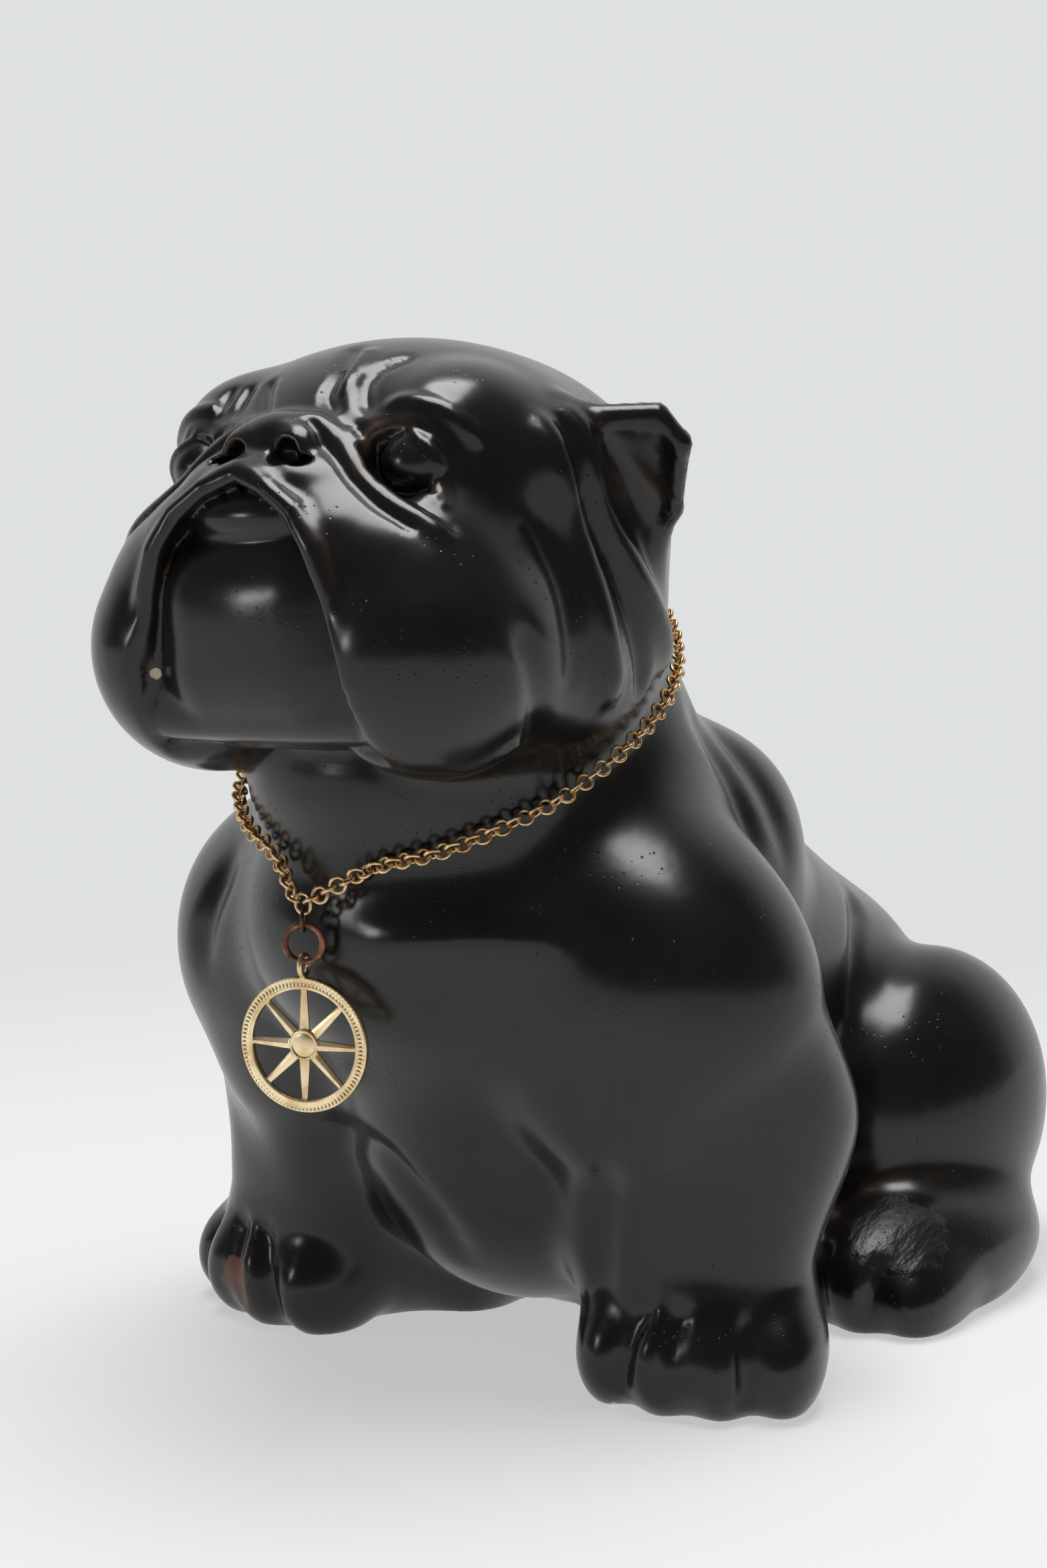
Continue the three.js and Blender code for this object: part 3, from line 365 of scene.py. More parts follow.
# Masses of the body: [form, blend]. The trunk stands on the middle plane, and the limbs are mirrored.
trunk = massed([
    (egg((0, -88, 142), (72, 76, 56)), 1),
    (limb((0, -74, 168), (0, -104, 236), 67, 55), 24),
    (egg((0, -122, 190), (52, 45, 34)), 16),
    (egg((0, -52, 84), (60, 72, 72)), 30),
    (egg((0, -2, 24), (66, 46, 28)), 22),
    (limb((0, -10, 120), (0, 75, 78), 64, 58), 26),
    (egg((0, 70, 60), (66, 72, 60)), 24),
    (egg((0, 62, 18), (62, 66, 30)), 20),
])
limbs = [
    (egg((30, -20, 158), (34, 42, 36)), 16),
    (egg((38, -10, 52), (27, 38, 34)), 14),
    (egg((64, -88, 128), (44, 47, 48)), 20),
    (limb((70, -78, 112), (75, -62, 82), 35, 34), 19),
    (limb((76, -66, 84), (75, -74, 38), 35, 30), 14),
    (egg((75, -74, 19), (34, 35, 24), -20), 10),
    (egg((46, -68, 66), (20, 32, 44)), 14),
    (egg((52, -96, 106), (26, 32, 34)), 16),
    (egg((64, -92, 90), (24, 29, 26)), 14),
    (egg((58, -80, 56), (24, 28, 34)), 14),
    (limb((66, -72, 30), (38, -46, 14), 26, 20), 14),
    *toes((75, -76, 15), yaw=20, pitch=17, count=4, half=(12, 19, 17.5), forward=18, bow=3),
    (egg((64, 80, 56), (39, 57, 54), 0, -8), 10),
    (egg((86, 46, 16), (27, 56, 25), -4), 12),
    *toes((83, 34, 10), yaw=4, pitch=16, count=3, half=(12, 23, 14.5), forward=20, bow=3),
]


def body_form(x, y, z):
    side = np.abs(x)
    d = trunk(x, y, z)
    for shape, blend in limbs:
        d = join(d, shape(side, y, z), blend)
    return d


def rope(points, radius):
    """Round roll of clay that follows a line."""
    runs = [limb(start, end, radius, radius) for start, end in zip(points, points[1:])]

    def shape(x, y, z):
        d = runs[0](x, y, z)
        for run in runs[1:]:
            d = np.minimum(d, run(x, y, z))
        return d

    return shape


lip_radius = 2.6
lip_roll = rope([
    (0, -199, 278.5), (11, -202, 274.5), (21, -203, 268), (28, -204, 258), (32.5, -203, 246),
    (36, -200, 230), (39, -193, 214), (44, -182, 204), (52, -171, 198), (60, -162, 202),
], lip_radius)

# How far the mouth reaches to each side at each height: [height, half width]
lip_rim = np.array([
    (277, 0), (272, 13), (266, 20), (259, 26), (246, 30), (228, 35), (214, 37), (180, 38),
], float)


def mouth_half(z):
    """Half the mouth's width at a height. Above the rim it is less than nothing."""
    half = np.interp(z, lip_rim[::-1, 0], lip_rim[::-1, 1])
    return np.where(z > lip_rim[0, 0], lip_rim[0, 0] - z, half)


chin_block = block((0, -177, 235), (40, 28, 34), 26)
lower_lip = egg((0, -183, 266.5), (29, 20.5, 11))
gum = block((0, -170, 232), (42, 29, 28), 8)
chin_ball = egg((0, -179, 238), (32, 25.8, 28))
rim_slant = 0.8
chin_overlap = 2.6
mouth_floor = -188


def chin(x, y, z):
    flank = (np.abs(x) - mouth_half(z) - chin_overlap) * rim_slant
    front = join(join(chin_block(x, y, z), chin_ball(x, y, z), 8), lower_lip(x, y, z), 3)
    return join(meet(front, flank, 3.5), gum(x, y, z), 1.5)


skull = massed([
    (egg((0, -114, 256), (67, 80, 58)), 1),
    (egg((0, -132, 276), (66, 48, 36)), 10),
    (egg((0, -162, 262), (40, 32, 27)), 12),
    (egg((0, -181, 276), (26, 21, 10)), 8),
])
jowls = [
    (egg((36, -120, 228), (36, 50, 40)), 14),
    (egg((20, -182, 256), (22, 24, 21)), 9),
    (egg((39, -164, 229), (33, 43, 37)), 9),
    (egg((32, -166, 252), (28, 34, 22)), 9),
    (egg((37, -148, 287), (17, 23, 18)), 9),
]
ear_front, ear_end, ear_tip = (55, -122, 290), (78, -110.5, 290), (82.5, -107, 282)
ear_low, ear_back = (74, -99, 264), (60, -92, 248)
ear_radius = 3.8
ear_slabs = [
    plate(ear_front, ear_end, ear_tip, ear_radius),
    plate(ear_front, ear_tip, ear_low, ear_radius),
    plate(ear_front, ear_low, ear_back, ear_radius),
]
cup_front, cup_tip = (63.8, -121.3, 283.5), (80.3, -113.3, 281.5)
cup_low, cup_back = (74.8, -105.3, 265), (64.8, -100.8, 253)
cup_radius = 3
ear_cups = [
    plate(cup_front, cup_tip, cup_low, cup_radius),
    plate(cup_front, cup_low, cup_back, cup_radius),
]
nose_middle = 1.5
nose_pad = egg((nose_middle, -181, 286), (16, 11, 9))
nose_wing = egg((8.8, -186, 284), (7.2, 7, 7))
nostril = egg((8.8, -193, 283.5), (3.8, 6, 4))
nostril_slit = egg((13, -190, 281), (4, 6, 1.8), 20)
eye_hole = egg((38.5, -177, 279.5), (12.4, 6.6, 10.8))
eye_ball = egg((37.5, -167, 279.5), (11, 11, 9.6))


def head_form(x, y, z):
    side = np.abs(x)
    d = skull(x, y, z)
    for shape, blend in jowls:
        d = join(d, shape(side, y, z), blend)
    mouth = np.maximum((side - mouth_half(z)) * rim_slant, y - mouth_floor)
    d = join(cut(d, mouth, 3), lip_roll(side, y, z), 4)
    d = join(d, chin(x, y, z), 1.2)
    d = join(cut(d, eye_hole(side, y, z), 4), eye_ball(side, y, z), 0.9)
    nose_side = np.abs(x - nose_middle)
    d = join(join(d, nose_pad(x, y, z), 3), nose_wing(nose_side, y, z), 2)
    d = cut(cut(d, nostril(nose_side, y, z), 1.5), nostril_slit(nose_side, y, z), 1)
    one_ear = ear_slabs[0](side, y, z)
    for slab in ear_slabs[1:]:
        one_ear = join(one_ear, slab(side, y, z), 2)
    cup = join(ear_cups[0](side, y, z), ear_cups[1](side, y, z), 3)
    return join(d, cut(one_ear, cup, 3), 8)


def slope(field, points, reach=0.5):
    """Unit direction in which a form's distance grows at each point."""
    parts = []
    for axis in range(3):
        ahead, behind = points.copy(), points.copy()
        ahead[:, axis] += reach
        behind[:, axis] -= reach
        parts.append(field(*ahead.T) - field(*behind.T))
    normal = np.stack(parts, 1)
    return normal / np.maximum(np.linalg.norm(normal, axis=1, keepdims=True), 1e-9)


settle_rounds = 6


def settled(field, points):
    """The points, each moved along the slope onto the form's surface."""
    points = np.array(points, float)
    for _ in range(settle_rounds):
        points = points - slope(field, points) * field(*points.T)[:, None]
    return points


def lengths_along(line):
    """How far along a line of short runs each of its points lies."""
    return np.concatenate([[0], np.cumsum(np.linalg.norm(np.diff(line, axis=0), axis=1))])


def points_at(line, along, stops):
    return np.stack([np.interp(stops, along, line[:, i]) for i in range(3)], 1)


def flowing(points, spacing, closed=False):
    """A smooth curve through the points, as points at an even spacing."""
    p = np.array(points, float)
    before, after = (p[-1], p[0]) if closed else (2 * p[0] - p[1], 2 * p[-1] - p[-2])
    if closed:
        p = np.vstack([p, p[0]])
        knots = np.vstack([before, p, points[1]])
    else:
        knots = np.vstack([before, p, after])
    between = 16
    t = np.linspace(0, 1, between, endpoint=False)[:, None]
    dense = []
    for a, b, c, d in zip(knots, knots[1:], knots[2:], knots[3:]):
        dense.append(0.5 * (2 * b + (c - a) * t + (2 * a - 5 * b + 4 * c - d) * t ** 2
                            + (3 * b - a - 3 * c + d) * t ** 3))
    dense = np.vstack([*dense, p[-1]])
    along = lengths_along(dense)
    stops = np.linspace(0, along[-1], int(math.ceil(along[-1] / spacing)) + 1)
    return points_at(dense, along, stops)


def off_line(line, points):
    """Distance of each point from a line of short runs, and how far along the line it lies."""
    best = np.full(len(points), 1e9)
    place = np.zeros(len(points))
    travelled = 0.0
    for start, end in zip(line[:-1], line[1:]):
        along = end - start
        span = math.sqrt(along @ along)
        t = np.clip((points - start) @ along / max(span * span, 1e-9), 0, 1)
        off = np.linalg.norm(points - start - t[:, None] * along, axis=1)
        place = np.where(off < best, travelled + t * span, place)
        best = np.minimum(best, off)
        travelled += span
    return best, place, travelled


def eased(t):
    """Goes from 0 to 1 with a soft start and a soft end."""
    return t * t * (3 - 2 * t)


def stroke(form, points, height, width, closed=False):
    """Ridge (height above 0) or groove (below 0) left by a modelling tool, faded at its open ends."""
    line = settled(form, flowing(points, 1.5 * width, closed))
    reach = 2.6 * width
    fading = 3 * width
    low, high = line.min(0) - reach, line.max(0) + reach

    def raised(p):
        near = np.nonzero(np.all((p > low) & (p < high), axis=1))[0]
        lift = np.zeros(len(p))
        if len(near):
            off, place, whole = off_line(line, p[near])
            fade = 1.0
            if not closed:
                fade = eased(np.clip(np.minimum(place, whole - place) / fading, 0, 1))
            lift[near] = height * fade * np.exp(-(off / width) ** 2)
        return lift

    return raised


# Lines drawn in the clay, given on the left side and mirrored: [points, height, width]
head_folds = [
    ([(6, -181, 297), (16, -181, 292), (26, -183, 284), (36, -186, 276), (46, -186, 268),
      (60, -180, 257)], 1.7, 3.2),
    ([(10, -183, 292), (20, -186, 285), (30, -189, 276), (40, -190, 268), (51, -187, 260)], -1.6, 1.6),
    ([(20, -176, 293), (28, -178, 285), (42, -183, 272), (60, -178, 259)], -0.9, 2.0),
    ([(27, -172, 294), (33, -170, 296), (41, -168, 295), (49, -164, 290), (54, -159, 282)], 2.2, 2.6),
    ([(66, -174, 240), (70, -166, 226), (69, -160, 213), (59, -152, 201), (45, -149, 192)], -2.4, 5),
    ([(56, -142, 294), (63, -141, 280), (68, -138, 264), (72, -133, 242), (73, -129, 224),
      (66, -122, 207)], 4.6, 4.6),
    ([(57, -130, 297), (63, -129, 284), (68, -126, 267), (72, -115, 250), (72, -103, 235),
      (58, -79, 213)], 4.8, 4.6),
    ([(59, -134, 292), (66, -131, 272), (72, -123, 248), (73, -114, 228), (65, -105, 210)], -4.4, 3.4),
    ([(52, -153, 290), (60, -151, 272), (67, -147, 250), (70, -146, 232), (66, -142, 212)], -1.2, 4.5),
]
# Lid rims round the eyes, one round the other: [half width, half height, ridge's height, its width]
lid_rims = [(13.8, 11.6, 1.6, 1.6), (17.8, 15.2, 0.7, 1.6)]
lid_centre = (37.5, -176, 279)
lid_tilt = math.radians(-20)
# The brow's deep folds, which differ on the two sides
brow_folds = [
    ([(0, -144, 313), (5, -156, 309), (8, -165, 304), (10, -172, 299), (17, -177, 293)], -2.2, 2.0),
    ([(7, -146, 313), (11, -158, 308), (13, -166, 303), (15, -172, 298)], 1.3, 2.4),
    ([(24, -147, 309), (20, -154, 307), (18, -162, 303), (21, -169, 298), (26, -173, 292)], -2.4, 2.2),
    ([(-18, -160, 304), (-15, -168, 301), (-11, -174, 297), (-8, -178, 294)], -2.2, 2.0),
    ([(-25, -160, 303), (-24, -168, 299), (-22, -174, 294)], -2.2, 2.0),
    ([(-31, -160, 302), (-31, -168, 297), (-29, -173, 292)], -1.6, 2.0),
]
# Grooves between the toes, creases behind the shoulder and one over the haunch
body_folds = [
    ([(74, -103, 37), (70, -109, 25), (67, -112, 14), (64, -113, 3)], -3.6, 2.7),
    ([(84, -103, 37), (82, -109, 25), (80, -112, 13), (80, -112, 3)], -3.6, 2.7),
    ([(98, -94, 34), (100, -98, 22), (101, -98, 12), (101, -97, 3)], -3.4, 2.7),
    ([(75, 3, 27), (76, -5, 16), (76, -9, 4)], -3.0, 2.4),
    ([(93, 2, 26), (92, -5, 16), (92, -8, 4)], -3.0, 2.4),
    ([(44, -34, 198), (50, -28, 190), (59, -24, 178), (64, -20, 164), (66, -10, 146)], -1.7, 6),
    ([(58, -66, 208), (55, -52, 198), (59, -44, 184), (66, -40, 168), (72, -34, 150)], -1.6, 6),
    ([(42, 70, 129), (55, 50, 120), (62, 36, 105), (62, 30, 90)], -2.6, 5),
]
# What differs on the chest's two sides: a low shelf across it, and creases where legs leave it
own_body_folds = [
    ([(2, -164, 140), (20, -158, 145), (38, -150, 147), (54, -139, 147), (68, -124, 148)], 4.0, 9),
    ([(75, -131, 124), (72, -127, 106), (68, -121, 88), (62, -112, 68), (57, -108, 48),
      (56, -106, 30)], -3.6, 5.2),
    ([(-58, -131, 163), (-68, -134, 147), (-73, -134, 132), (-74, -131, 116)], -2.4, 6),
    ([(-46, -100, 72), (-16, -121, 71), (-3, -120, 61), (4, -115, 50), (5, -109, 40),
      (3, -100, 31)], -2.2, 5),
]


deepest = 12


def drawn(form, folds, own_folds=(), rings=()):
    """The form with its strokes, which act on what lies nearer its surface than the deepest."""
    strokes = [stroke(form, points, height, width) for points, height, width in folds]
    strokes += [stroke(form, points, height, width, closed=True) for points, height, width in rings]
    single = [stroke(form, points, height, width) for points, height, width in own_folds]

    def shape(x, y, z):
        d = form(x, y, z)
        near = np.nonzero(np.abs(d) < deepest)[0]
        p = np.stack([np.abs(x[near]), y[near], z[near]], 1)
        for raised in strokes:
            d[near] -= raised(p)
        p[:, 0] = x[near]
        for raised in single:
            d[near] -= raised(p)
        return d

    return shape


lid_points = 16


def lid_rim(wide, high, height, width):
    cx, cy, cz = lid_centre
    points = []
    for i in range(lid_points):
        turn = 2 * math.pi * i / lid_points
        u, v = wide * math.cos(turn), high * math.sin(turn)
        points.append((cx + u * math.cos(lid_tilt) - v * math.sin(lid_tilt), cy,
                       cz + u * math.sin(lid_tilt) + v * math.cos(lid_tilt)))
    return points, height, width


body = drawn(body_form, body_folds, own_body_folds)
head = drawn(head_form, head_folds, brow_folds, [lid_rim(*rim) for rim in lid_rims])
body_top = 250
head_bottom = 165
head_roll = math.radians(2.5)
head_roll_height = 255
vent_radius = 9
vent_depth = 30
vent_y = 20


def sculpture_form(x, y, z):
    far = 60.0
    d = np.full(x.shape, far)
    low = np.nonzero(z < body_top)[0]
    d[low] = body(x[low], y[low], z[low])
    top = np.nonzero(z > head_bottom)[0]
    up = z[top] - head_roll_height
    head_x = math.cos(head_roll) * x[top] + math.sin(head_roll) * up
    head_z = head_roll_height - math.sin(head_roll) * x[top] + math.cos(head_roll) * up
    d[top] = join(d[top], head(head_x, y[top], head_z), 8)
    d = meet(d, -z, 0.8)
    vent = np.maximum(np.hypot(x, y - vent_y) - vent_radius, z - vent_depth)
    return cut(d, vent, 1)


def cast(form, low, high, voxel):
    """Samples a form on a fine grid, near its surface alone, and draws quads that face outwards."""
    side = 4
    batch = 4096
    low, high = np.array(low, float), np.array(high, float)
    counts = np.ceil((high - low) / (voxel * side)).astype(int)
    blocks = np.stack(np.meshgrid(*[np.arange(n) for n in counts], indexing="ij"), -1).reshape(-1, 3)
    middle = low + (blocks + 0.5 - 0.5 / side) * side * voxel
    depth = form(*middle.T)
    band = 2 * voxel
    coarse = np.where(depth < 0, -band, band).astype(np.float32)
    values = np.repeat(np.repeat(np.repeat(coarse.reshape(counts), side, 0), side, 1), side, 2)
    split = values.reshape(counts[0], side, counts[1], side, counts[2], side)
    near = np.nonzero(np.abs(depth) < side * voxel * 1.1 + voxel)[0]
    steps = np.stack(np.meshgrid(*[np.arange(side)] * 3, indexing="ij"), -1).reshape(-1, 3)
    for start in range(0, len(near), batch):
        chosen = blocks[near[start:start + batch]]
        places = low + (chosen[:, None, :] * side + steps[None]) * voxel
        found = form(*places.reshape(-1, 3).T.copy()).reshape(len(chosen), side, side, side)
        split[chosen[:, 0], :, chosen[:, 1], :, chosen[:, 2], :] = np.clip(found, -band, band)
    grid = openvdb.FloatGrid(band)
    grid.copyFromArray(values)
    points, quads = grid.convertToQuads(0.0)
    surface = low + points.astype(float) * voxel
    first, second, third = (surface[quads[:, i]] for i in range(3))
    outward = first - surface.mean(0)
    if np.einsum("ij,ij->", np.cross(second - first, third - first), outward) < 0:
        quads = quads[:, ::-1]
    return surface, quads


def mesh_piece(name, points, faces, paint=None):
    """A piece from points in the form's own millimetres."""
    mesh = bpy.data.meshes.new(name)
    places = np.asarray(points, float) * millimetre + np.array(form_step)
    faces = np.asarray(faces)
    mesh.vertices.add(len(places))
    mesh.vertices.foreach_set("co", places.astype(np.float32).ravel())
    mesh.loops.add(faces.size)
    mesh.loops.foreach_set("vertex_index", faces.astype(np.int32).ravel())
    mesh.polygons.add(len(faces))
    mesh.polygons.foreach_set("loop_start", np.arange(0, faces.size, faces.shape[1], dtype=np.int32))
    mesh.update(calc_edges=True)
    mesh.validate()
    mesh.polygons.foreach_set("use_smooth", np.full(len(mesh.polygons), True))
    made = bpy.data.objects.new(name, mesh)
    bpy.context.scene.collection.objects.link(made)
    if paint:
        mesh.materials.append(paint.material)
    return made


def give(mesh, name, values):
    mesh.attributes.new(name, "FLOAT", "POINT").data.foreach_set("value", values.astype(np.float32))


form_voxel = 2.25
form_low, form_high = (-124, -226, -6), (124, 156, 324)
cast_points, cast_quads = cast(sculpture_form, form_low, form_high, form_voxel)
sculpture = mesh_piece("casting", cast_points, cast_quads)

# The face is modelled finer than the rest: its quads are split before the surface is drawn up tight
finer = bmesh.new()
finer.from_mesh(sculpture.data)
face_low = Vector((-60, -230, 228)) * millimetre + form_step
face_high = Vector((60, -160, 306)) * millimetre + form_step
in_face = [all(l < c < h for l, c, h in zip(face_low, v.co, face_high)) for v in finer.verts]
face_edges = [e for e in finer.edges if in_face[e.verts[0].index] and in_face[e.verts[1].index]]
bmesh.ops.subdivide_edges(finer, edges=face_edges, cuts=1, use_grid_fill=True)
finer.to_mesh(sculpture.data)
finer.free()


def form_points(mesh):
    """A mesh's points in the form's own millimetres."""
    co = np.empty(3 * len(mesh.vertices), np.float32)
    mesh.vertices.foreach_get("co", co)
    return (co.reshape(-1, 3).astype(float) - np.array(form_step)) / millimetre


def mesh_normals(mesh):
    normals = np.empty(3 * len(mesh.vertices), np.float32)
    mesh.vertex_normals.foreach_get("vector", normals)
    return normals.reshape(-1, 3).astype(float)


draw_rounds = 3
draw_share = 0.9
for _ in range(draw_rounds):
    cast_points = form_points(sculpture.data)
    off = np.clip(sculpture_form(*cast_points.T.copy()), -1, 1)
    cast_points -= off[:, None] * mesh_normals(sculpture.data) * draw_share
    cast_points[:, 2] = np.maximum(cast_points[:, 2], 0)
    places = cast_points * millimetre + np.array(form_step)
    sculpture.data.vertices.foreach_set("co", places.astype(np.float32).ravel())
    sculpture.data.update()

# How far the surface bulges or sinks about each point, for wear on edges and depth in folds
step_out = 4
step_in = 3
cast_normals = mesh_normals(sculpture.data)
outside = sculpture_form(*(cast_points + step_out * cast_normals).T.copy())
inside = sculpture_form(*(cast_points - step_in * cast_normals).T.copy())
give(sculpture.data, "hollow", np.clip(1 - outside / step_out, 0, 1))
give(sculpture.data, "edge", np.clip(1 + inside / step_in, 0, 1))

lacquer = Paint("lacquered_terracotta", roughness=0.3)
hollow = lacquer.node("ShaderNodeAttribute", {"attribute_name": "hollow"}, out="Fac")
edge = lacquer.node("ShaderNodeAttribute", {"attribute_name": "edge"}, out="Fac")
cloud = lacquer.noise(14.0, 4.0, 0.6)
mottle = lacquer.noise(45.0, 3.0, 0.6)
fine = lacquer.noise(160.0, 3.0, 0.6)
rubbed = (edge.step(0.2, 0.55) * mottle.step(0.42, 0.66) * (0.4 + fine.step(0.35, 0.7) * 0.6)).held()
bare = (edge.step(0.35, 0.7) * cloud.step(0.58, 0.66) * fine.step(0.5, 0.62)).held()
black, brown_black = (0.0046, 0.0045, 0.0045), (0.0105, 0.0085, 0.0072)
thin_lacquer, fired_clay, scuffed_clay = (0.055, 0.026, 0.014), (0.2, 0.075, 0.035), (0.17, 0.06, 0.03)
chalky_body = (0.62, 0.5, 0.36)
shade = lacquer.mix(mottle.step(0.3, 0.75), black, brown_black)
shade = lacquer.mix(rubbed, shade, thin_lacquer)
shade = lacquer.mix(bare * 0.8, shade, fired_clay)


def spot(paint, centre, radius, ragged):
    """1 within a radius in millimetres of a place on the form, 0 outside it, with a ragged rim."""
    from_centre = paint.node("ShaderNodeVectorMath", {"operation": "DISTANCE"}, out="Value",
                             Vector=paint.place)
    paint.feed(from_centre.link.node.inputs[1], tuple(Vector(centre) * millimetre + form_step))
    rim = from_centre + (paint.noise(220.0, 3.0) - 0.5) * ragged
    return rim.step(radius * 1.15 * millimetre, radius * 0.85 * millimetre)


# Marks of wear that the casting carries: a scuff on the far paw, and three chips in the lacquer
scuff = spot(lacquer, (-82, -110, 14), 8, 0.012) * (0.5 + mottle.step(0.35, 0.6) * 0.5)
shade = lacquer.mix(scuff, shade, scuffed_clay)
chips = spot(lacquer, (-32, -200, 222), 1.6, 0.002)
chips = chips.most(spot(lacquer, (60, -105, 1), 1.5, 0.003))
chips = chips.most(spot(lacquer, (-81, -110, 3), 1.4, 0.003))
shade = lacquer.mix(chips, shade, chalky_body)
lacquer.set("Base Color", shade)

# The top of the near hind foot was lacquered with a dry brush
brushed = spot(lacquer, (94, 8, 34), 17, 0.01)
stretched = lacquer.node("ShaderNodeMapping", Vector=lacquer.place, Scale=(260.0, 60.0, 160.0))
bristles = lacquer.noise(1.0, 3.0, 0.6, place=stretched)
lacquer.set("Roughness", 0.14 + cloud * 0.12 + mottle * 0.05 + rubbed * 0.15 + hollow * 0.1
            + brushed * 0.16 + (scuff + chips) * 0.3)

# Pinholes where air came out of the clay, and the lacquer's slow waves
pits = lacquer.node("ShaderNodeTexVoronoi", {"feature": "F1"}, Vector=lacquer.place, Scale=420.0)
pinholes = pits.step(0.2, 0.06) * lacquer.noise(60.0, 2.0).step(0.54, 0.64)
relief = cloud * 0.5 + mottle * 0.3 - pinholes * 0.3 + brushed * bristles * 1.2 - chips * 0.4
lacquer.bump(relief, 0.0012, 0.5)
sculpture.data.materials.append(lacquer.material)
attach(sculpture, "dog")
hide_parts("sculpture")


# Loose links: round links of rose brass wire, each bent shut through the one before it. Twenty hang
# on each side in front of the chest, free of the casting.
def ring_points(centre, axis, radius, wire_radius, steps=32, sides=12):
    """Points and quads of a closed ring of round wire."""
    axis = Vector(axis).normalized()
    first = axis.orthogonal().normalized()
    second = axis.cross(first)
    points = []
    for i in range(steps):
        turn = 2 * math.pi * i / steps
        outward = first * math.cos(turn) + second * math.sin(turn)
        for j in range(sides):
            lean = 2 * math.pi * j / sides
            reach = radius + wire_radius * math.cos(lean)
            points.append(Vector(centre) + outward * reach + axis * (wire_radius * math.sin(lean)))
    faces = []
    for i in range(steps):
        for j in range(sides):
            a, b = i * sides + j, i * sides + (j + 1) % sides
            c, d = (i + 1) % steps * sides + (j + 1) % sides, (i + 1) % steps * sides + j
            faces.append((a, d, c, b))
    return np.array([tuple(p) for p in points]), np.array(faces)


def merged(rings):
    points, faces, count = [], [], 0
    for ring, quads in rings:
        points.append(ring)
        faces.append(quads + count)
        count += len(ring)
    return np.vstack(points), np.vstack(faces)


def placed(node):
    """Centre and axis of a ring-shaped node."""
    co = form_points(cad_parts[node].data)
    centre = co.mean(0)
    _, _, axes = np.linalg.svd(co - centre, full_matrices=False)
    return centre, axes[2]


def riding(piece, body, slot, *nodes):
    """Sets a piece on its body, in the place of these nodes. The slot argument is not used."""
    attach(piece, body)
    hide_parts(*nodes)


def metal(name, light, dark, roughness, patch_scale=420.0, dull=0.15):
    """Plated or bare metal whose bright tone gives way to a darker one in small patches."""
    paint = Paint(name, base=light, roughness=roughness, metallic=1.0)
    patches = paint.noise(patch_scale, 4.0, 0.6)
    grime = paint.noise(patch_scale / 4, 3.0)
    shade = (patches.step(0.42, 0.62) * 0.6 + grime.step(0.45, 0.7) * 0.4).held()
    paint.set("Base Color", paint.mix(shade, light, dark))
    paint.set("Roughness", roughness + patches * dull)
    paint.bump(patches, 0.00012, 0.6)
    return paint


rose_brass = metal("rose_brass", (0.92, 0.66, 0.36), (0.42, 0.23, 0.10), 0.24)
loose_count = 20
link_bore = 3.3
link_wire = 1.15
link_radius = (link_bore + link_wire) / 2
for side in ("left", "right"):
    names = [f"link_{side}_{k + 1}" for k in range(loose_count)]
    links = merged([ring_points(*placed(name), link_radius, link_wire / 2) for name in names])
    riding(mesh_piece(f"loose_links_{side}", *links, rose_brass), "front_chain", "rose_brass", *names)


# Middle link: one wider round link of the same rose brass wire, at the chain's lowest point. It joins
# the two sides and carries what hangs from them.
middle_bore = 4.6
middle_ring = ring_points(*placed("link_middle"), (middle_bore + link_wire) / 2, link_wire / 2, steps=40)
riding(mesh_piece("middle_link", *middle_ring, rose_brass), "front_chain", "rose_brass", "link_middle")


# Neck chains: the same round links laid round the neck, each leaning on the next. They lie still on
# the casting, at an even pitch between the last loose link and the clasp, so each side is one piece.
clasp_centre = np.array((0, -32.53, 241.85))
loop_centre_y = -80
loose_pitch = 3.0
neck_spacing = 3.55
lean_fade = 25.0
line_step = 0.2


def neck_links(side, sign, end_x):
    """Finds the run's middle line from its node, by mean points at even turns, and sets links on it."""
    co = form_points(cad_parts[f"neck_chain_{side}"].data)
    angle = np.arctan2(sign * co[:, 0], loop_centre_y - co[:, 1]) % (2 * math.pi)
    window = 0.045
    first_turn, last_turn = angle.min() + 2.5 * window, angle.max() - 4 * window
    line = [placed(f"link_{side}_{loose_count}")[0]]
    for at in np.arange(first_turn, last_turn, 2 * window):
        weight = np.exp(-((angle - at) / window) ** 2 / 2)
        line.append((co * weight[:, None]).sum(0) / weight.sum())
    line.append(clasp_centre + (end_x, 0, 0))
    line = flowing(line, line_step)
    along = lengths_along(line)
    # An even count, so that the quarter turns agree with the loose links and the clasp
    steps = 2 * int((along[-1] - loose_pitch) / neck_spacing / 2)
    stops = np.linspace(loose_pitch, along[-1], steps + 1)
    centres = points_at(line, along, stops)
    outs = slope(sculpture_form, centres, 3)
    courses = points_at(line, along, stops + 1) - points_at(line, along, stops - 1)
    rings = []
    for k, (centre, out, course, stop) in enumerate(zip(centres, outs, courses, stops)):
        course /= np.linalg.norm(course)
        out = out - course * (out @ course)
        out /= np.linalg.norm(out)
        # They lie square on and edge-on by turns at the clasp, and lean half way between further on
        rest = eased(min((along[-1] - stop) / lean_fade, 1))
        lean = math.radians((90 if k % 2 == 0 else 0) + 45 * rest)
        axis = out * math.cos(lean) - np.cross(out, course) * math.sin(lean)
        rings.append(ring_points(centre, axis, link_radius, link_wire / 2, steps=28, sides=10))
    return merged(rings)


for side, sign, end_x in (("left", 1, 2.65), ("right", -1, -6.75)):
    piece = mesh_piece(f"neck_links_{side}", *neck_links(side, sign, end_x), rose_brass)
    riding(piece, "dog", "rose_brass", f"neck_chain_{side}")


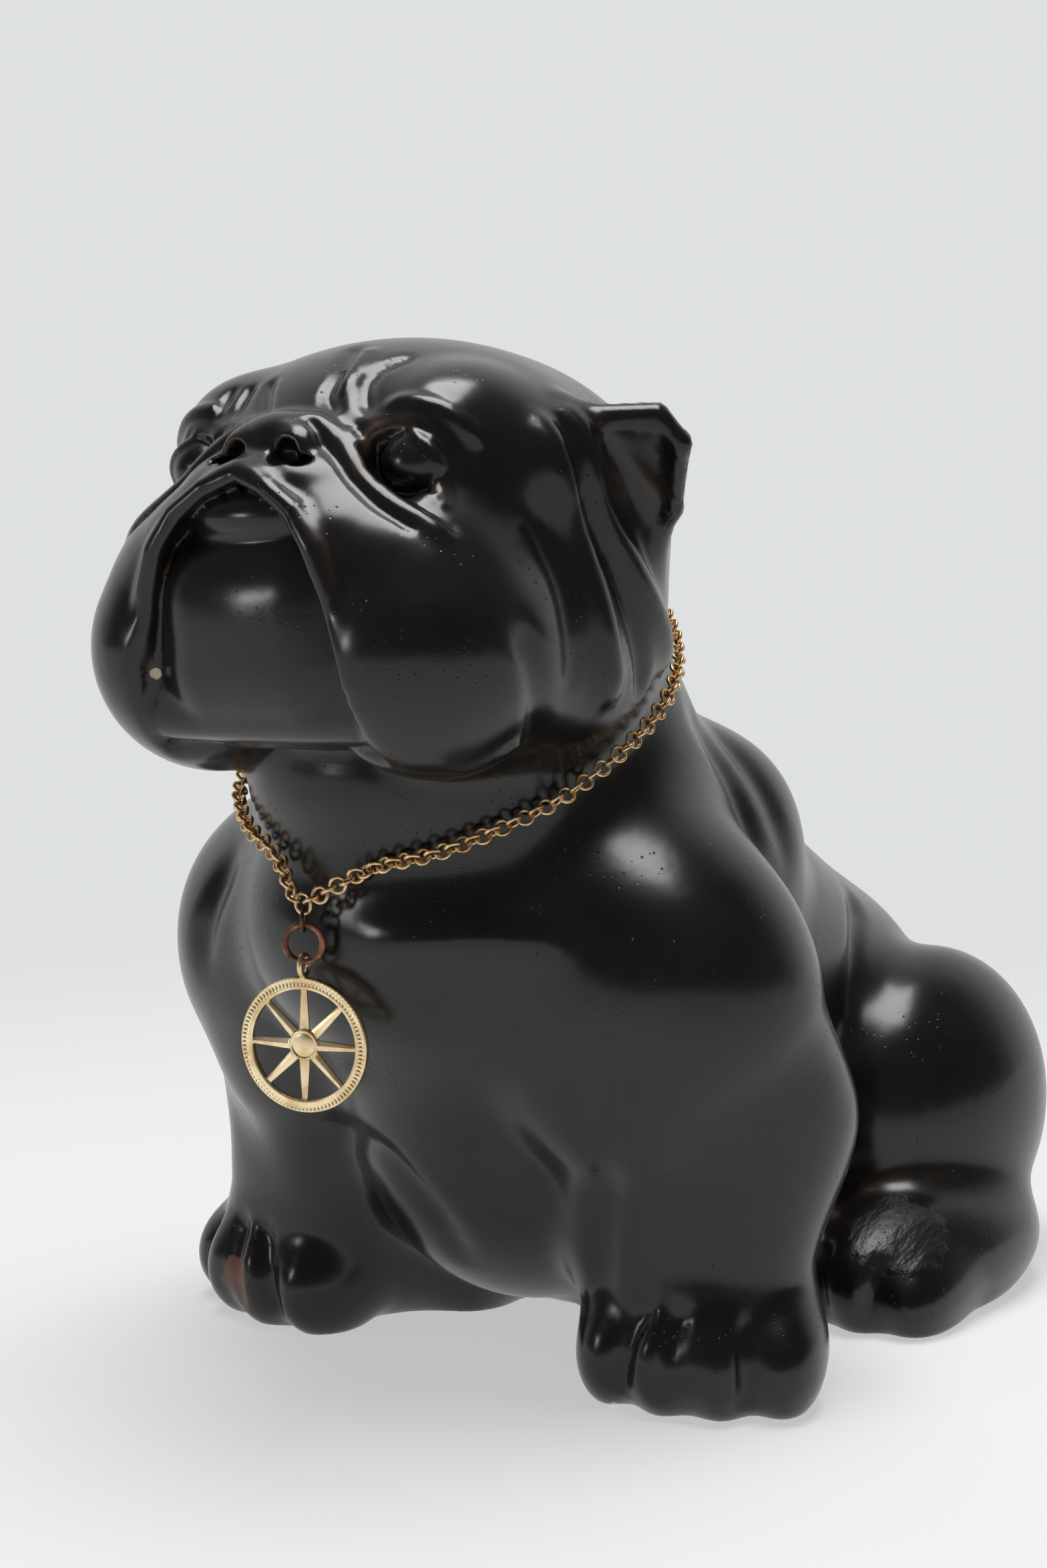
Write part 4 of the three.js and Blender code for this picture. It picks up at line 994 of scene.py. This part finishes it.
# Connector link: one small round link of dark tarnished brass wire, hung edge-on in the chain's
# lowest link and bent shut once the pendant ring was in it.
dark_brass = metal("dark_brass", (0.16, 0.085, 0.055), (0.05, 0.025, 0.018), 0.34)
connector_bore, connector_wire = 5.2, 1.2
connector_ring = ring_points(*placed("connector_link"), (connector_bore + connector_wire) / 2,
                             connector_wire / 2, steps=48, sides=16)
connector = mesh_piece("connector", *connector_ring, dark_brass)
riding(connector, "connector", "dark_brass", "connector_link")


# Pendant ring: a thick closed ring of copper-brown plated wire, its plating rubbed thin. The
# connector link holds it above, and the medallion's bail hangs in it below.
worn_copper = metal("worn_copper", (0.36, 0.175, 0.11), (0.11, 0.055, 0.04), 0.4, 260.0, 0.25)
ring_outer = 12.8
ring_wire = 1.9
ring_bore = ring_outer - 2 * ring_wire
pendant_circle = ring_points(*placed("pendant_ring"), (ring_bore + ring_wire) / 2, ring_wire / 2,
                             steps=72, sides=24)
hoop = mesh_piece("pendant_hoop", *pendant_circle, worn_copper)
riding(hoop, "ring", "worn_copper", "pendant_ring")


# Medallion: one casting of pale gold plated brass: a reeded rim, a domed boss, eight ridged rays
# between them, and the bail on top.
medallion_centre = np.array((-4, -170, 114.0))
medallion_yaw = math.radians(14)
rim_outer = 19.8
rim_inner = 16.2
rim_edge = 0.5
half_thick = 1.2
groove_radius, groove_half, groove_depth = 18.35, 1.05, 0.14
reeds, reed_depth = 96, 0.13
bead_radius, bead_wire = 16.9, 0.35
boss_radius = 4.5
collar_radius, collar_wire, collar_rise = boss_radius - 0.45, 0.42, 0.75
rays = 8
ray_root, ray_tip, ray_thick, ray_fall = 1.6, 0.9, 0.8, 0.55
ray_start, ray_end = 3.8, 16.6
bail_radius, bail_wire, bail_height = 3.0, 0.8, 23.2


def medallion_form(u, v, w):
    """u runs across the face, v up it and w through it."""
    r = np.hypot(u, v)
    turn = np.arctan2(v, u)
    depth = np.abs(w)
    across_band = np.abs(r - (rim_outer + rim_inner) / 2) - (rim_outer - rim_inner) / 2 + rim_edge
    through_band = depth - half_thick + rim_edge
    rim = np.hypot(np.maximum(across_band, 0), np.maximum(through_band, 0))
    rim += np.minimum(np.maximum(across_band, through_band), 0) - rim_edge
    groove = np.clip(1 - ((r - groove_radius) / groove_half) ** 2, 0, 1) * (depth > half_thick / 2)
    rim += groove * (groove_depth + reed_depth * np.cos(reeds * turn))
    bead = np.hypot(r - bead_radius, depth - half_thick + bead_wire) - bead_wire
    rim = join(rim, bead, 0.15)
    boss = egg((0, 0, 0), (boss_radius, boss_radius, half_thick))(u, v, w)
    collar = np.hypot(r - collar_radius, depth - collar_rise) - collar_wire
    d = join(rim, join(boss, collar, 0.2), 0.1)
    turns = 2 * math.pi / rays
    folded = (turn - math.pi / 2 + turns / 2) % turns - turns / 2
    across, out = np.abs(r * np.sin(folded)), r * np.cos(folded)
    share = np.clip((out - boss_radius) / (rim_inner - boss_radius), 0, 1)
    half = ray_root + (ray_tip - ray_root) * share
    ridge = ray_thick * (1 - ray_fall * np.clip(across / half, 0, 1))
    ray = np.maximum(across - half, (depth - ridge) * 0.8)
    ray = np.maximum(ray, np.maximum(ray_start - out, out - ray_end))
    d = join(d, ray, 0.35)
    bail = np.hypot(np.hypot(w, v - bail_height) - bail_radius, u) - bail_wire
    return join(d, bail, 0.4)


def local_piece(name, form, low, high, voxel, centre, axes, paint):
    """Casts a form in its own axes and sets it in its place."""
    points, quads = cast(form, low, high, voxel)
    return mesh_piece(name, centre + points @ np.array(axes), quads, paint)


pale_gold = metal("pale_gold", (1.0, 0.82, 0.52), (0.72, 0.5, 0.24), 0.24, 160.0, 0.12)
across_face = (math.cos(medallion_yaw), math.sin(medallion_yaw), 0)
into_face = (-math.sin(medallion_yaw), math.cos(medallion_yaw), 0)
face_axes = (across_face, (0, 0, 1), into_face)
medallion = local_piece("sunburst_medallion", medallion_form, (-20.6, -20.6, -4.4), (20.6, 27.6, 4.4),
                        0.2, medallion_centre, face_axes, pale_gold)
riding(medallion, "pendant", "pale_gold", "medallion")


# Clasp case: a spring-ring clasp of brass tube at the nape, with a mouth, a slot for the thumb stud and
# an eye soldered on. The left run's last link hangs in the mouth, and the right run's in the eye.
clasp_out = np.array((0.0033, 0.99107, -0.13328))
clasp_across = np.array((1.0, 0, 0)) - clasp_out * clasp_out[0]
clasp_across /= np.linalg.norm(clasp_across)
clasp_axes = (clasp_across, np.cross(clasp_out, clasp_across), clasp_out)
tube_radius, tube_bore = 0.85, 0.6
clasp_radius = 2.15
mouth_start, mouth_end = 32.5, 87.5
bolt_start, bolt_end = mouth_start - 10, mouth_end + 22
stud_at = bolt_end - 11
slot_start, slot_end = stud_at - 16, stud_at + 76
slot_half = 0.6
eye_at, eye_radius, eye_wire = 4.525, 1.425, 0.4


def sector(x, y, start, end):
    """How far outside the sector between two angles, in degrees, a point lies, about."""
    off = np.degrees(np.arctan2(y, x)) - (start + end) / 2
    off = np.abs((off + 180) % 360 - 180) - (end - start) / 2
    return np.radians(off) * np.maximum(np.hypot(x, y), 0.5)


def case_form(x, y, z):
    """x runs across the neck, y up the clasp and z out from the neck."""
    off = np.hypot(np.hypot(x, y) - clasp_radius, z)
    tube = np.maximum(off - tube_radius, tube_bore - off)
    tube = cut(tube, sector(x, y, mouth_start, mouth_end), 0.1)
    slot = np.maximum(np.abs(np.hypot(x, y) - clasp_radius) - slot_half, -z)
    slot = np.maximum(slot, sector(x, y, slot_start, slot_end))
    eye = np.hypot(np.hypot(x + eye_at, y) - eye_radius, z) - eye_wire
    return join(cut(tube, slot, 0.08), eye, 0.2)


clasp_brass = metal("clasp_brass", (0.78, 0.52, 0.24), (0.36, 0.2, 0.08), 0.24)
clasp_case = local_piece("clasp_tube", case_form, (-7.2, -3.8, -1.6), (3.8, 3.8, 1.6), 0.11,
                         clasp_centre, clasp_axes, clasp_brass)
riding(clasp_case, "dog", "clasp_brass", "clasp_case")


# Clasp bolt: a bent brass rod that slides inside the clasp's tube and closes its mouth. The stud on it
# stands out through the slot for the thumb.
bolt_radius = 0.29
stud_height = 1.53


def bolt_form(x, y, z):
    rod = np.hypot(np.hypot(x, y) - clasp_radius, z) - bolt_radius
    rod = meet(rod, sector(x, y, bolt_start, bolt_end), 0.08)
    turn = math.radians(stud_at)
    px, py = x - clasp_radius * math.cos(turn), y - clasp_radius * math.sin(turn)
    stud = np.maximum(np.hypot(px, py) - bolt_radius, np.maximum(-z, z - stud_height))
    return join(rod, stud, 0.1)


clasp_bolt = local_piece("clasp_slide", bolt_form, (-3.6, -3.6, -1.0), (3.6, 3.6, 2.2), 0.08,
                         clasp_centre, clasp_axes, clasp_brass)
riding(clasp_bolt, "bolt", "clasp_brass", "clasp_bolt")
